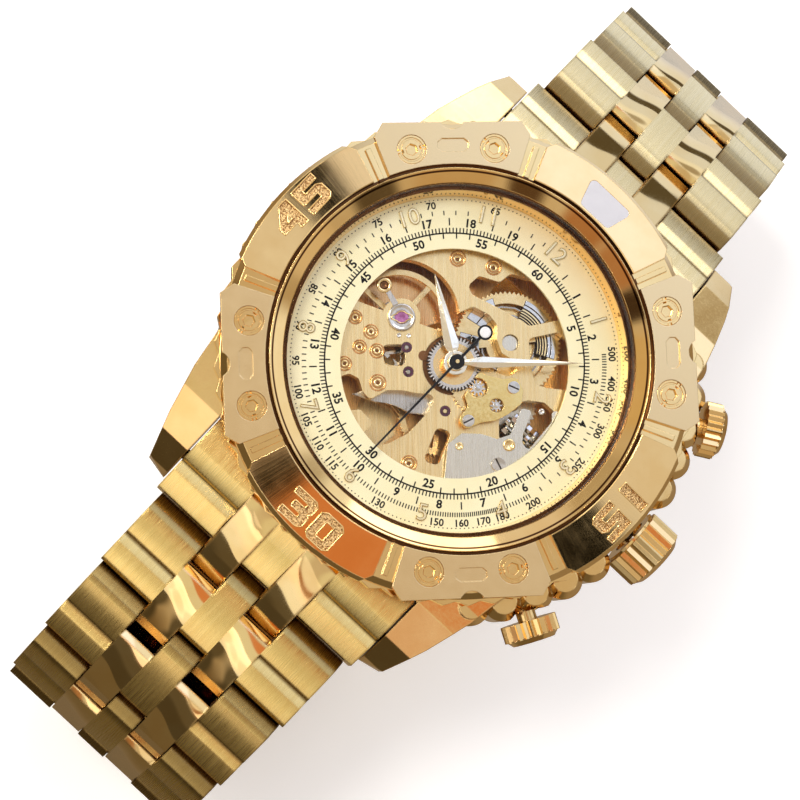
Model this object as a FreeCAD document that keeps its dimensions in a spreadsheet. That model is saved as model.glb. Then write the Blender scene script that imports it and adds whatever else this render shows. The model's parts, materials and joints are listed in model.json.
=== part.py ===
# Skeleton wristwatch: round case with a turning bezel, open-worked movement, closed link bracelet.
# Millimetres. The origin is the centre of the case back's outer face, +Z points out through the
# dial, +Y to 12 o'clock and +X to the crown at 3 o'clock.
import FreeCAD, Part
import math
import os
import Sketcher

Vector = FreeCAD.Vector
Rotation = FreeCAD.Rotation
Placement = FreeCAD.Placement

doc = FreeCAD.newDocument("skeleton_wristwatch")
sheet = doc.addObject("Spreadsheet::Sheet", "sizes")

# ---------------------------------------------------------------- driving sizes
SIZES = [
    ("fit_gap", 0.05, "running clearance of shafts and seats, on the radius"),
    ("free_gap", 0.2, "clearance between pieces that only pass each other"),
    # case
    ("back_radius", 19.2, "case back flange"),
    ("back_flange", 1.3, "case back flange thickness"),
    ("back_spigot", 0.9, "height of the spigot that enters the case"),
    ("glass_opening", 13.0, "radius seen through the case back"),
    ("glass_ledge", 0.6, "width and depth of the ledge under the back glass"),
    ("glass_thickness", 0.8, "back glass"),
    ("case_bore", 17.9, "radius of the chamber that takes the movement ring"),
    ("flank_radius", 23.3, "case flank at its widest"),
    ("flank_height", 5.7, "height of the widest line over the case bottom"),
    ("case_height", 9.0, "case bottom to the shoulder under the bezel"),
    ("collar_radius", 18.6, "collar that the bezel turns on"),
    ("collar_height", 2.9, "collar above the shoulder"),
    ("throat_radius", 16.9, "inner flange around the dial, at the dial"),
    ("throat_flare", 0.25, "how much wider the flange is under the crystal"),
    ("throat_height", 2.4, "dial to crystal"),
    ("crystal_radius", 17.5, "front crystal"),
    ("crystal_thickness", 1.5, "front crystal"),
    ("crystal_bevel", 0.25, "bevel round the crystal"),
    ("lug_gap", 13.5, "half the gap between two lugs"),
    ("lug_tip_x", 16.0, "outer corner of a lug's tip, from the middle"),
    ("lug_tip_y", 27.1, "lug tip, from the middle towards 12 or 6"),
    ("guard_stand", 1.0, "flank to the circle on which the guard lobes stand"),
    ("guard_lobe", 2.0, "radius of one guard lobe"),
    ("guard_pitch", 7.8, "degrees from lobe to lobe"),
    ("guard_start", 12.1, "degrees from the crown to the first lobe"),
    ("guard_top", 9.4, "height of the guard lobes over the case back"),
    ("guard_bevel", 1.2, "height of the bevel on a guard lobe"),
    # bezel
    ("bezel_radius", 24.15, "across the numeral blocks"),
    ("bezel_seat", 0.1, "running gap under the bezel"),
    ("bezel_floor", 3.2, "bezel underside to the floor between the blocks"),
    ("block_height", 0.7, "how far blocks and plates stand above that floor"),
    ("bezel_inner", 19.4, "inner edge of blocks and plates"),
    ("lip_radius", 17.65, "inner edge of the sloping ring round the crystal"),
    ("coin_radius", 24.3, "tips of the coin edge"),
    ("coin_depth", 0.45, "depth of the coin edge"),
    ("coin_teeth", 60, "teeth of the coin edge"),
    ("block_angle", 41.0, "degrees covered by a numeral block"),
    ("plate_angle", 39.0, "degrees covered by a screwed plate"),
    ("plate_edge", 23.6, "straight outer edge of a plate, from the middle"),
    ("plate_screw_circle", 21.3, "circle of the bezel screws"),
    ("plate_screw_angle", 11.3, "degrees from a plate's middle to its screws"),
    ("bezel_screw_radius", 1.45, "head of a bezel screw"),
    ("recess_depth", 0.25, "racetrack recess in a plate"),
    ("marker_inner", 3.7, "width of the marker at its inner end"),
    ("marker_outer", 5.4, "width of the marker at its outer end"),
    ("block_fall", 0.5, "how much lower a block's top is at its outer edge"),
    ("numeral_depth", 0.2, "depth of the engraved numerals"),
    ("numeral_circle", 21.8, "circle on which the engraved numerals stand"),
    ("numeral_across", 0.95, "stroke of an engraved numeral, along the ring"),
    ("numeral_up", 0.7, "stroke of an engraved numeral, along the radius"),
    # dial and movement frame
    ("dial_opening", 11.6, "radius of the open middle of the dial"),
    ("dial_thickness", 0.45, "dial ring"),
    ("ring_wall", 3.7, "movement ring, radial"),
    ("plate_thickness", 1.6, "main plate"),
    ("motion_room", 1.05, "main plate to dial ring"),
    ("bridge_thickness", 0.5, "train bridge and balance cock"),
    ("wheel_room", 3.4, "train bridge to main plate"),
    ("pillar_radius", 0.9, "pillars between train bridge and main plate"),
    ("pillar_circle", 12.7, "circle of the pillars"),
    # arbors, in plan
    ("barrel_x", 2.75, "barrel"), ("barrel_y", 5.7, "barrel"),
    ("third_x", 2.6, "third wheel"), ("third_y", -4.0, "third wheel"),
    ("escape_x", -2.8, "escape wheel"), ("escape_y", -3.65, "escape wheel"),
    ("pallet_x", -4.6, "pallet fork"), ("pallet_y", -1.95, "pallet fork"),
    ("balance_x", -7.05, "balance"), ("balance_y", -0.1, "balance"),
    ("minute_x", 3.36, "minute wheel"), ("minute_y", -0.2, "minute wheel"),
    ("transfer_x", 7.4, "crown wheel"), ("transfer_y", 1.9, "crown wheel"),
    # tooth counts
    ("barrel_teeth", 72, "barrel"), ("centre_leaves", 12, "centre pinion"),
    ("centre_teeth", 64, "centre wheel"), ("third_leaves", 8, "third pinion"),
    ("third_teeth", 60, "third wheel"), ("fourth_leaves", 8, "fourth pinion"),
    ("fourth_teeth", 84, "fourth wheel"), ("escape_leaves", 7, "escape pinion"),
    ("escape_teeth", 15, "escape wheel"), ("cannon_teeth", 12, "cannon pinion"),
    ("minute_teeth", 36, "minute wheel"), ("minute_leaves", 10, "minute pinion"),
    ("hour_teeth", 40, "hour wheel"), ("ratchet_teeth", 40, "ratchet wheel"),
    ("transfer_teeth", 30, "crown wheel"),
    # going train
    ("wheel_thickness", 0.25, "train wheels"),
    ("arbor_radius", 0.2, "arbors of the third, escape and pallet"),
    ("barrel_height", 1.5, "barrel with its cover"),
    ("barrel_arbor", 0.8, "barrel arbor"),
    ("spring_turns", 4, "turns of the mainspring that are drawn"),
    ("spring_width", 0.7, "height of the mainspring"),
    ("balance_radius", 5.2, "balance rim, outside"),
    ("balance_rim", 0.55, "width of the balance rim"),
    ("balance_thickness", 0.55, "balance rim, height"),
    ("hairspring_radius", 2.5, "hairspring, outside"),
    ("hairspring_turns", 4, "turns of the hairspring that are drawn"),
    ("escape_radius", 2.1, "escape wheel"),
    # hands
    ("hand_thickness", 0.2, "hands"),
    ("hour_length", 9.2, "hour hand"), ("hour_width", 1.25, "hour hand"),
    ("minute_length", 12.8, "minute hand"), ("minute_width", 1.15, "minute hand"),
    ("second_length", 12.6, "seconds hand"), ("second_tail", 4.1, "seconds hand's disc"),
    ("second_disc", 0.77, "radius of the disc on the seconds hand's tail"),
    ("second_width", 0.3, "seconds hand"),
    ("hour_angle", 304.0, "hour hand, degrees clockwise from 12"),
    ("minute_angle", 47.0, "minute hand"), ("second_angle", 181.0, "seconds hand"),
    # keyless work, crown and pushers
    ("stem_height", 5.9, "stem axis over the case back"),
    ("stem_radius", 0.6, "stem"),
    ("crown_radius", 3.5, "crown"), ("crown_length", 3.8, "crown"),
    ("crown_stand", 1.9, "flank to the inner face of the crown"),
    ("crown_flutes", 24, "flutes of the crown"),
    ("crown_pull", 0.8, "travel of the crown when it is pulled out"),
    ("pinion_radius", 1.4, "winding pinion and clutch"),
    ("lever_reach", 3.6, "setting lever, pivot to nose"),
    ("lever_x", 12.1, "setting lever's pivot"),
    ("pusher_angle", 30.0, "degrees from the crown to a pusher"),
    ("pusher_radius", 2.9, "pusher cap"), ("pusher_length", 2.2, "pusher cap"),
    ("pusher_stand", 3.5, "flank to the inner face of a pusher cap"),
    ("pusher_travel", 0.8, "travel of a pusher"),
    ("pusher_stem", 1.0, "radius of a pusher's stem"),
    ("pusher_teeth", 24, "coin edge of a pusher cap"),
    # rotor
    ("rotor_gap", 0.85, "winding rotor to the ring round it"), ("rotor_plate", 0.4, "rotor sheet"),
    ("rotor_weight", 0.7, "rotor weight, height"), ("rotor_rim", 1.8, "rotor weight, radial"),
    # bracelet
    ("link_pitch", 9.0, "pin to pin"),
    ("link_thickness", 3.4, "link"),
    ("link_width", 25.0, "first link"), ("link_taper", 0.65, "each next link is narrower by"),
    ("tongue_width", 3.8, "polished tongue"), ("centre_width", 3.6, "brushed middle piece"),
    ("lobe_gap", 0.12, "side gap between a tongue and the lobes beside it"),
    ("end_gap", 0.15, "gap between a round lobe end and the piece it faces"),
    ("pin_radius", 0.6, "link pin"),
    ("rib_depth", 0.35, "groove across an outer lobe"),
    ("first_pin_y", 30.5, "pin between end link and first link"),
    ("first_pin_z", 2.5, "pin between end link and first link"),
    # clasp
    ("clasp_width", 19.6, "outer cover"), ("clasp_sheet", 0.9, "cover sheet"),
    ("blade_width", 15.0, "folding blades"), ("blade_thickness", 0.8, "folding blades"),
    ("clasp_pin", 0.45, "clasp hinge pins"),
]

# Slope of each link below the horizontal, from the end link round to the clasp.
SLOPES_SIX = [12, 29, 66, 106, 142, 165, 172]
SLOPES_TWELVE = [30, 46, 86, 130, 158, 170]


class Size:
    """A number together with the sheet formula that gives it."""

    def __init__(self, number, formula=None):
        self.number = float(number)
        self.formula = formula or "(%.6f)" % self.number

    def join(self, other, sign, number):
        return Size(number, "(%s %s %s)" % (self.formula, sign, other.formula))

    def __add__(self, other):
        other = as_size(other)
        return self.join(other, "+", self.number + other.number)

    def __radd__(self, other):
        return as_size(other) + self

    def __sub__(self, other):
        other = as_size(other)
        return self.join(other, "-", self.number - other.number)

    def __rsub__(self, other):
        return as_size(other) - self

    def __mul__(self, other):
        other = as_size(other)
        return self.join(other, "*", self.number * other.number)

    def __rmul__(self, other):
        return as_size(other) * self

    def __truediv__(self, other):
        other = as_size(other)
        return self.join(other, "/", self.number / other.number)

    def __neg__(self):
        return as_size(0) - self

    def __float__(self):
        return self.number


def as_size(thing):
    return thing if isinstance(thing, Size) else Size(thing)


def cos(angle):
    angle = as_size(angle)
    return Size(math.cos(math.radians(angle.number)), "cos(%s)" % angle.formula)


def sin(angle):
    angle = as_size(angle)
    return Size(math.sin(math.radians(angle.number)), "sin(%s)" % angle.formula)


class Sheet:
    """The sheet's cells as Size values, by alias."""


S = Sheet()
for row, (alias, number, note) in enumerate(SIZES, 1):
    sheet.set("A%d" % row, note)
    sheet.set("B%d" % row, str(number))
    sheet.setAlias("B%d" % row, alias)
    setattr(S, alias, Size(number, "sizes." + alias))
doc.recompute()
S.guard_radius = S.flank_radius + S.guard_stand
S.crown_start = S.flank_radius + S.crown_stand
S.pusher_start = S.flank_radius + S.pusher_stand
S.rotor_radius = S.case_bore - S.ring_wall - S.fit_gap - S.rotor_gap

# ---------------------------------------------------------------- modelling helpers
UPRIGHT = Rotation(Vector(1, 0, 0), 90)          # sketch drawn in the XZ plane
SIDEWAYS = Rotation(0.5, 0.5, 0.5, 0.5)          # sketch drawn in the YZ plane
ALONG = {"X": Rotation(Vector(0, 1, 0), 90), "Y": Rotation(Vector(-1, 0, 0), 90), "Z": Rotation()}
PARTS = []


def bind(thing, prop, value):
    thing.setExpression(prop, as_size(value).formula)


def place(thing, x=0, y=0, z=0, rotation=None):
    if rotation:
        thing.Placement = Placement(Vector(), rotation)
    bind(thing, "Placement.Base.x", x)
    bind(thing, "Placement.Base.y", y)
    bind(thing, "Placement.Base.z", z)
    return thing


def outline(name, corners, rotation=None, height=0):
    """Closed sketch through corners, each a pair of sizes."""
    sketch = doc.addObject("Sketcher::SketchObject", name)
    corners = [(as_size(across), as_size(up)) for across, up in corners]
    points = [Vector(across.number, up.number, 0) for across, up in corners]
    count = len(points)
    for k in range(count):
        sketch.addGeometry(Part.LineSegment(points[k], points[(k + 1) % count]), False)
    for k in range(count):
        sketch.addConstraint(Sketcher.Constraint("Coincident", k, 2, (k + 1) % count, 1))
    for k, (across, up) in enumerate(corners):
        for kind, value in (("DistanceX", across), ("DistanceY", up)):
            index = sketch.addConstraint(Sketcher.Constraint(kind, -1, 1, k, 1, value.number))
            sketch.setExpression("Constraints[%d]" % index, value.formula)
    if rotation:
        sketch.Placement = Placement(Vector(), rotation)
    if rotation is None:
        bind(sketch, "Placement.Base.z", height)
    return sketch


def raised(name, sketch, length, direction=Vector(0, 0, 1)):
    solid = doc.addObject("Part::Extrusion", name)
    solid.Base = sketch
    solid.DirMode = "Custom"
    solid.Dir = direction
    solid.Solid = True
    bind(solid, "LengthFwd", length)
    return solid


def slab(name, corners, low, high):
    """Flat piece: corners in plan, between two heights."""
    return raised(name, outline(name + "_plan", corners, height=low), as_size(high) - low)


def turned(name, section, angle=360, start=0):
    """Solid turned about the watch axis from a section of (radius, height) sizes."""
    solid = doc.addObject("Part::Revolution", name)
    solid.Source = outline(name + "_section", section, UPRIGHT)
    solid.Axis = Vector(0, 0, 1)
    solid.Base = Vector()
    solid.Solid = True
    bind(solid, "Angle", angle)
    if start:
        solid.Placement = Placement(Vector(), Rotation(Vector(0, 0, 1), float(start)))
    return solid


def rod(name, radius, length, x=0, y=0, z=0, along="Z"):
    solid = doc.addObject("Part::Cylinder", name)
    bind(solid, "Radius", radius)
    bind(solid, "Height", length)
    return place(solid, x, y, z, ALONG[along])


def cone(name, low_radius, high_radius, length, x=0, y=0, z=0, along="Z"):
    solid = doc.addObject("Part::Cone", name)
    bind(solid, "Radius1", low_radius)
    bind(solid, "Radius2", high_radius)
    bind(solid, "Height", length)
    return place(solid, x, y, z, ALONG[along])


def block(name, length, width, height, x, y, z):
    """Box with its corner at x, y, z."""
    solid = doc.addObject("Part::Box", name)
    bind(solid, "Length", length)
    bind(solid, "Width", width)
    bind(solid, "Height", height)
    return place(solid, x, y, z)


def fuse(name, pieces):
    if len(pieces) == 1:
        return pieces[0]
    joined = doc.addObject("Part::MultiFuse", name)
    joined.Shapes = pieces
    joined.Refine = True
    return joined


def cut(name, base, tools):
    left = doc.addObject("Part::Cut", name)
    left.Base = base
    left.Tool = fuse(name + "_tools", tools)
    left.Refine = True
    return left


def shared(name, first, second):
    both = doc.addObject("Part::Common", name)
    both.Base = first
    both.Tool = second
    return both


def group(name, pieces):
    """Separate solids of one kind, kept in one node."""
    together = doc.addObject("Part::Compound", name)
    together.Links = pieces
    return together


def shaped(name, shape):
    """A form that neither sketches nor primitives fit, made from the sheet's sizes in code."""
    feature = doc.addObject("Part::Feature", name)
    feature.Shape = shape
    return feature


def turned_round(name, piece, angle):
    """Copy of a piece, turned about the watch axis."""
    copy = doc.addObject("Part::Compound", name)
    copy.Links = [piece]
    copy.Placement = Placement(Vector(), Rotation(Vector(0, 0, 1), float(angle)))
    return copy


def keep(node, piece):
    """Register a finished sub-part under the name of its node."""
    piece.Label = node
    PARTS.append(piece)
    return piece


def polygon(points):
    points = [Vector(*p) for p in points]
    return Part.Face(Part.makePolygon(points + points[:1]))


def prism(points, low, high):
    return polygon([(x, y, low) for x, y in points]).extrude(Vector(0, 0, high - low))


def soft_prism(points, corner, low, high):
    """Flat piece in plan with its corners rounded by arcs."""
    edges = []
    count = len(points)
    points = [Vector(x, y, low) for x, y in points]
    starts, ends, middles = [], [], []
    for k in range(count):
        here, before, after = points[k], points[k - 1], points[(k + 1) % count]
        to_before, to_after = before - here, after - here
        turn = to_before.getAngle(to_after)
        reach = min(corner / math.tan(turn / 2), 0.45 * to_before.Length, 0.45 * to_after.Length)
        radius = reach * math.tan(turn / 2)
        to_before.normalize()
        to_after.normalize()
        halfway = (to_before + to_after).normalize()
        starts.append(here + to_before * reach)
        ends.append(here + to_after * reach)
        middles.append(here + halfway * (radius / math.sin(turn / 2) - radius))
    for k in range(count):
        edges.append(Part.Arc(starts[k], middles[k], ends[k]).toShape())
        edges.append(Part.LineSegment(ends[k], starts[(k + 1) % count]).toShape())
    return Part.Face(Part.Wire(edges)).extrude(Vector(0, 0, high - low))


def disc(radius, low, high, x=0, y=0):
    return Part.makeCylinder(radius, high - low, Vector(x, y, low))


# ---------------------------------------------------------------- heights, from the back up
case_bottom = S.back_flange
spigot_top = case_bottom + S.back_spigot
shoulder = case_bottom + S.case_height
collar_top = shoulder + S.collar_height
bridge_low = spigot_top + 0.7
bridge_top = bridge_low + S.bridge_thickness
plate_low = bridge_top + S.wheel_room
plate_top = plate_low + S.plate_thickness
dial_low = plate_top + S.motion_room
dial_top = dial_low + S.dial_thickness
crystal_low = dial_top + S.throat_height
bezel_low = shoulder + S.bezel_seat
bezel_top = bezel_low + S.bezel_floor + S.block_height


# ---------------------------------------------------------------- case
def lug(sign_x, sign_y):
    """One lug: its outline in plan, cut to its side view."""
    plan = [(S.lug_gap, 16), (17.5, 10.5), (20.2, 5.5), (22.4, 5.5), (20.9, 10.5),
            (19.5, 13.6), (18.8, 18.0), (17.5, 22.9), (S.lug_tip_x, S.lug_tip_y),
            (S.lug_gap, S.lug_tip_y + 0.6)]
    side = [(5, case_bottom + 0.3), (20, case_bottom + 0.3), (24.5, 0.9), (S.lug_tip_y, 0.9),
            (S.lug_tip_y + 0.7, 2.0), (S.lug_tip_y + 0.1, 4.2), (24.5, 7.0), (20, 8.9), (14, 9.9),
            (5, shoulder - 0.2)]
    flat = raised("lug_block", outline("lug_plan", [(sign_x * x, sign_y * as_size(y)) for x, y in plan]),
                  shoulder)
    view = outline("lug_side", [(sign_y * as_size(y), z) for y, z in side], SIDEWAYS)
    wide = raised("lug_slice", view, S.flank_radius, Vector(sign_x, 0, 0))
    return shared("lug", flat, wide)


def guard_lobe(angle):
    x, y = S.guard_radius * cos(angle), S.guard_radius * sin(angle)
    foot = shoulder - 7.2
    rise = S.guard_top - S.guard_bevel
    post = rod("guard_post", S.guard_lobe, rise - foot, x, y, foot)
    cap = cone("guard_cap", S.guard_lobe, S.guard_lobe - S.guard_bevel * 0.6, S.guard_bevel, x, y, rise)
    return fuse("guard_lobe", [post, cap])


def radial_rod(name, radius, start, length, angle):
    """Rod at the stem's height that points away from the watch axis."""
    solid = doc.addObject("Part::Cylinder", name)
    bind(solid, "Radius", radius)
    bind(solid, "Height", length)
    turn = Rotation(Vector(0, 0, 1), float(angle))
    return place(solid, start * cos(angle), start * sin(angle), S.stem_height, turn.multiply(ALONG["X"]))


def make_case():
    bore_top = dial_top
    section = [(S.case_bore, case_bottom), (S.back_radius + 1.2, case_bottom),
               (S.flank_radius - 0.4, case_bottom + 2.3), (S.flank_radius, case_bottom + S.flank_height),
               (S.flank_radius - 0.4, shoulder), (S.collar_radius, shoulder),
               (S.collar_radius, collar_top), (S.crystal_radius + S.fit_gap, collar_top),
               (S.crystal_radius + S.fit_gap, crystal_low), (S.throat_radius + S.throat_flare, crystal_low),
               (S.throat_radius, bore_top), (S.case_bore, bore_top)]
    pieces = [turned("case_ring", section)]
    pieces += [lug(x, y) for x in (1, -1) for y in (1, -1)]
    for side in (1, -1):
        for k in range(5):
            pieces.append(guard_lobe(side * (S.guard_start + S.guard_pitch * k)))
        boss = S.pusher_start - S.pusher_travel - S.free_gap - S.flank_radius + 1.0
        pieces.append(radial_rod("pusher_tube", S.pusher_stem + 0.7, S.flank_radius - 1.0, boss,
                                 side * S.pusher_angle))
    pieces.append(rod("crown_tube", S.stem_radius + 1.1, S.crown_start - S.flank_radius + 0.4,
                      S.flank_radius - 0.8, 0, S.stem_height, "X"))
    solid = fuse("case_solid", pieces)
    bores = [rod("stem_bore", S.stem_radius + S.fit_gap, 12, S.case_bore - 1, 0, S.stem_height, "X")]
    for side in (1, -1):
        bores.append(radial_rod("pusher_bore", S.pusher_stem + S.fit_gap, S.case_bore - 1.0, 12,
                                side * S.pusher_angle))
        pocket = radial_rod("pusher_pocket", S.pusher_radius + S.free_gap,
                            S.pusher_start - S.pusher_travel - S.free_gap, 8, side * S.pusher_angle)
        bores.append(pocket)
    bores.append(rod("crown_pocket", S.crown_radius + S.free_gap, 8, S.crown_start - 0.2, 0,
                     S.stem_height, "X"))
    for sign_x in (1, -1):
        for sign_y in (1, -1):
            start = S.lug_gap - 0.5 if sign_x > 0 else -(S.lug_gap + 1.5)
            bores.append(rod("bar_hole", bar_radius + S.fit_gap, 2.0, start, sign_y * bar_y, bar_z, "X"))
    keep("case_middle", cut("case_middle", solid, bores))

    keep("case_back", turned("case_back", [
        (S.glass_opening, 0), (S.back_radius - 0.4, 0), (S.back_radius, 0.4),
        (S.back_radius, case_bottom), (S.case_bore - S.fit_gap, case_bottom),
        (S.case_bore - S.fit_gap, spigot_top), (S.glass_opening + S.glass_ledge + S.fit_gap, spigot_top),
        (S.glass_opening + S.glass_ledge + S.fit_gap, S.glass_ledge), (S.glass_opening, S.glass_ledge)]))
    keep("back_crystal", rod("back_crystal", S.glass_opening + S.glass_ledge, S.glass_thickness,
                             z=S.glass_ledge))
    top = crystal_low + S.crystal_thickness
    keep("crystal", turned("crystal", [
        (0, crystal_low), (S.crystal_radius, crystal_low), (S.crystal_radius, top - S.crystal_bevel),
        (S.crystal_radius - S.crystal_bevel, top), (0, top)]))
    outer = S.case_bore - S.fit_gap
    ring = turned("ring_body", [(outer - S.ring_wall, spigot_top), (outer, spigot_top), (outer, dial_low),
                                (outer - S.ring_wall, dial_low)])
    slot = rod("ring_slot", S.stem_radius + S.free_gap, S.ring_wall + 2, S.case_bore - S.ring_wall - 1, 0,
               S.stem_height, "X")
    keep("movement_ring", cut("movement_ring", ring, [slot]))
    keep("dial_ring", turned("dial_ring", [(S.dial_opening, dial_low), (outer, dial_low),
                                           (outer, dial_top), (S.dial_opening, dial_top)]))


# ---------------------------------------------------------------- bezel
def coin_edge(name, tips, depth, teeth, low, high, inner):
    """Ring with V teeth on its outside."""
    teeth = int(round(float(teeth)))
    points = []
    for k in range(2 * teeth):
        radius = float(tips) if k % 2 else float(tips) - float(depth)
        angle = math.pi * k / teeth
        points.append((radius * math.cos(angle), radius * math.sin(angle)))
    shape = prism(points, float(low), float(high))
    if inner is not None:
        shape = shape.cut(disc(float(inner), float(low), float(high)))
    return shaped(name, shape)


def bezel_plate(k):
    """One screwed plate, drawn about +X and turned to its diagonal."""
    floor = bezel_low + S.bezel_floor
    half = S.plate_angle / 2
    inner, outer = S.bezel_inner - 1.0, S.plate_edge
    corner = S.plate_edge - 1.4
    plan = [(inner * cos(half), -inner * sin(half)), (corner, -corner * sin(half) / cos(half)),
            (outer, -7.0), (outer, 7.0), (corner, corner * sin(half) / cos(half)),
            (inner * cos(half), inner * sin(half))]
    plate = slab("plate_blank", plan, floor, bezel_top)
    tools = [rod("plate_inside", S.bezel_inner, S.block_height + 2, z=floor - 1),
             rod("plate_notch", 1.3, S.block_height + 2, S.plate_edge + 0.6, 0, floor - 1)]
    for side in (1, -1):
        angle = side * S.plate_screw_angle
        tools.append(rod("plate_hole", S.bezel_screw_radius + 0.02, S.block_height + 2,
                         S.plate_screw_circle * cos(angle), S.plate_screw_circle * sin(angle), floor - 1))
    recess = [(-0.67, -1.1), (-0.3, -1.55), (0.3, -1.55), (0.67, -1.1), (0.67, 1.1), (0.3, 1.55),
              (-0.3, 1.55), (-0.67, 1.1)]
    tools.append(slab("plate_recess", [(S.plate_screw_circle + x, y) for x, y in recess],
                      bezel_top - S.recess_depth, bezel_top + 1))
    plate = cut("plate_cut", plate, tools)
    return turned_round("plate_%d" % k, plate, 45 + 90 * k)


# Outlines of the engraved numerals in strokes, 3 wide and 4.4 high; a second loop is left standing.
GLYPHS = {
    "0": [[(0, 0.5), (0.5, 0), (2.5, 0), (3, 0.5), (3, 3.9), (2.5, 4.4), (0.5, 4.4), (0, 3.9)],
          [(1, 1), (1, 3.4), (2, 3.4), (2, 1)]],
    "1": [[(1.0, 0), (2.1, 0), (2.1, 4.4), (1.0, 4.4)]],
    "3": [[(0, 0), (2.5, 0), (3, 0.5), (3, 1.9), (2.7, 2.2), (3, 2.5), (3, 3.9), (2.5, 4.4), (0, 4.4),
           (0, 3.4), (2, 3.4), (2, 2.7), (0.7, 2.7), (0.7, 1.7), (2, 1.7), (2, 1), (0, 1)]],
    "4": [[(1.8, 0), (2.8, 0), (2.8, 4.4), (1.8, 4.4), (0, 1.9), (0, 0.9), (1.8, 0.9)],
          [(1.1, 1.8), (1.8, 2.8), (1.8, 1.8)]],
    "5": [[(0, 0), (2.5, 0), (3, 0.5), (3, 2.3), (2.5, 2.8), (1, 2.8), (1, 3.4), (3, 3.4), (3, 4.4), (0, 4.4),
           (0, 1.8), (2, 1.8), (2, 1), (0, 1)]],
}


def block_top(radius):
    """Height of a numeral block's sloping top at a radius."""
    width = S.bezel_radius - 0.4 - S.bezel_inner
    return bezel_top - 0.05 - S.block_fall * (radius - S.bezel_inner) / width


def engraving(text, angle, way):
    """Tool that engraves two numerals in the block at an angle from the crown; way is -1 for tops inward."""
    width = (S.bezel_radius - 0.4 - S.bezel_inner).number
    lean = math.degrees(math.atan2(S.block_fall.number, width))
    across, up = S.numeral_across.number, S.numeral_up.number
    letters = []
    for place, letter in enumerate(text):
        shift = (place - 0.5) * 3.6 * across
        loops = [[(-way * ((x - 1.5) * across + shift), way * (y - 2.2) * up) for x, y in loop]
                 for loop in GLYPHS[letter]]
        tool = prism([(y, x) for x, y in loops[0]], -S.numeral_depth.number, 0.6)
        for loop in loops[1:]:
            tool = tool.cut(prism([(y, x) for x, y in loop], -1, 1))
        letters.append(tool)
    tool = letters[0].fuse(letters[1:])
    tool.rotate(Vector(0, 0, 0), Vector(0, 1, 0), lean)
    tool.translate(Vector(S.numeral_circle.number, 0, block_top(S.numeral_circle).number))
    tool.rotate(Vector(0, 0, 0), Vector(0, 0, 1), angle)
    return shaped("engraving_" + text, tool)


def make_bezel():
    floor = bezel_low + S.bezel_floor
    collar = S.collar_radius + S.fit_gap
    ring = turned("bezel_body", [
        (collar, bezel_low), (S.coin_radius - 0.9, bezel_low), (S.coin_radius - 0.6, floor - 0.8),
        (S.coin_radius - 1.2, floor), (S.bezel_inner - 0.3, floor), (S.bezel_inner - 0.3, bezel_top - 0.1),
        (S.bezel_inner - 0.4, bezel_top), (S.lip_radius, bezel_top - 0.75),
        (S.lip_radius, collar_top + S.bezel_seat), (collar, collar_top + S.bezel_seat)])
    teeth = coin_edge("bezel_teeth", S.coin_radius, S.coin_depth, S.coin_teeth, bezel_low + 0.3,
                      bezel_low + 1.7, S.collar_radius + 2)
    outer = S.bezel_radius
    half = S.block_angle / 2
    low = floor - 1.2
    corner = [(22.9, 0.6), (25.5, 1.5), (24.9, -4.2)]
    blocks = []
    for k in range(4):
        blank = turned("numeral_blank", [
            (S.bezel_inner - 0.02, floor - 0.3), (outer - 1.4, floor - 0.3), (outer - 1.2, low),
            (outer - 0.2, low), (outer, floor - 0.9), (outer, block_top(outer) - 0.45),
            (outer - 0.4, block_top(outer - 0.4)), (S.bezel_inner + 0.1, block_top(S.bezel_inner + 0.1)),
            (S.bezel_inner - 0.02, block_top(S.bezel_inner) - 0.1)], S.block_angle, 90 * k - half)
        trims = []
        for side in (1, -1):
            plan = [(radius * cos(90 * k + side * (half + turn)), radius * sin(90 * k + side * (half + turn)))
                    for radius, turn in corner]
            trims.append(slab("block_corner", plan, low - 0.5, bezel_top + 1))
        blocks.append(cut("numeral_block", blank, trims))
        for side in (1, -1):
            rib = block("gap_rib", 3.7, 0.55, 0.7, S.bezel_inner - 0.4, -0.275, floor - 0.3)
            blocks.append(turned_round("rib_turned", rib, 90 * k + side * (90 + S.block_angle - S.plate_angle) / 4))
    body = fuse("bezel_solid", [ring, teeth] + blocks)
    seats = []
    screws = []
    for k in range(4):
        for side in (1, -1):
            angle = 45 + 90 * k + side * S.plate_screw_angle
            x, y = S.plate_screw_circle * cos(angle), S.plate_screw_circle * sin(angle)
            seats.append(rod("screw_seat", S.bezel_screw_radius * 0.6 + 0.02, 1.5, x, y, floor - 1.4))
            head = rod("screw_head", S.bezel_screw_radius, S.block_height - 0.05, x, y, floor)
            shank = rod("screw_shank", S.bezel_screw_radius * 0.6, 1.3, x, y, floor - 1.3)
            screws.append(fuse("bezel_screw", [head, shank]))
    marker_low, marker_high = (S.bezel_inner + 0.25).number, (S.bezel_inner + 3.2).number
    inside, outside = S.marker_inner.number / 2, S.marker_outer.number / 2
    marker = [(-inside, marker_low), (inside, marker_low), (outside, marker_high), (-outside, marker_high)]
    bottom = (bezel_top - 0.95).number
    pocket = shaped("marker_pocket", soft_prism(marker, 0.5, bottom, bottom + 2))
    engravings = [engraving("15", 0, 1), engraving("45", 180, 1), engraving("30", 270, -1)]
    keep("bezel_ring", cut("bezel_ring", body, seats + [pocket] + engravings))
    keep("bezel_plates", group("bezel_plates", [bezel_plate(k) for k in range(4)]))
    keep("bezel_screws", group("bezel_screws", screws))
    inlay = shaped("marker_plan", soft_prism(marker, 0.5, bottom, bottom + 2))
    under = turned("marker_under", [(S.bezel_inner - 1, bezel_low), (outer, bezel_low), (outer, block_top(outer)),
                                    (S.bezel_inner - 1, block_top(S.bezel_inner - 1))])
    keep("bezel_marker", shared("bezel_marker", inlay, under))


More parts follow.
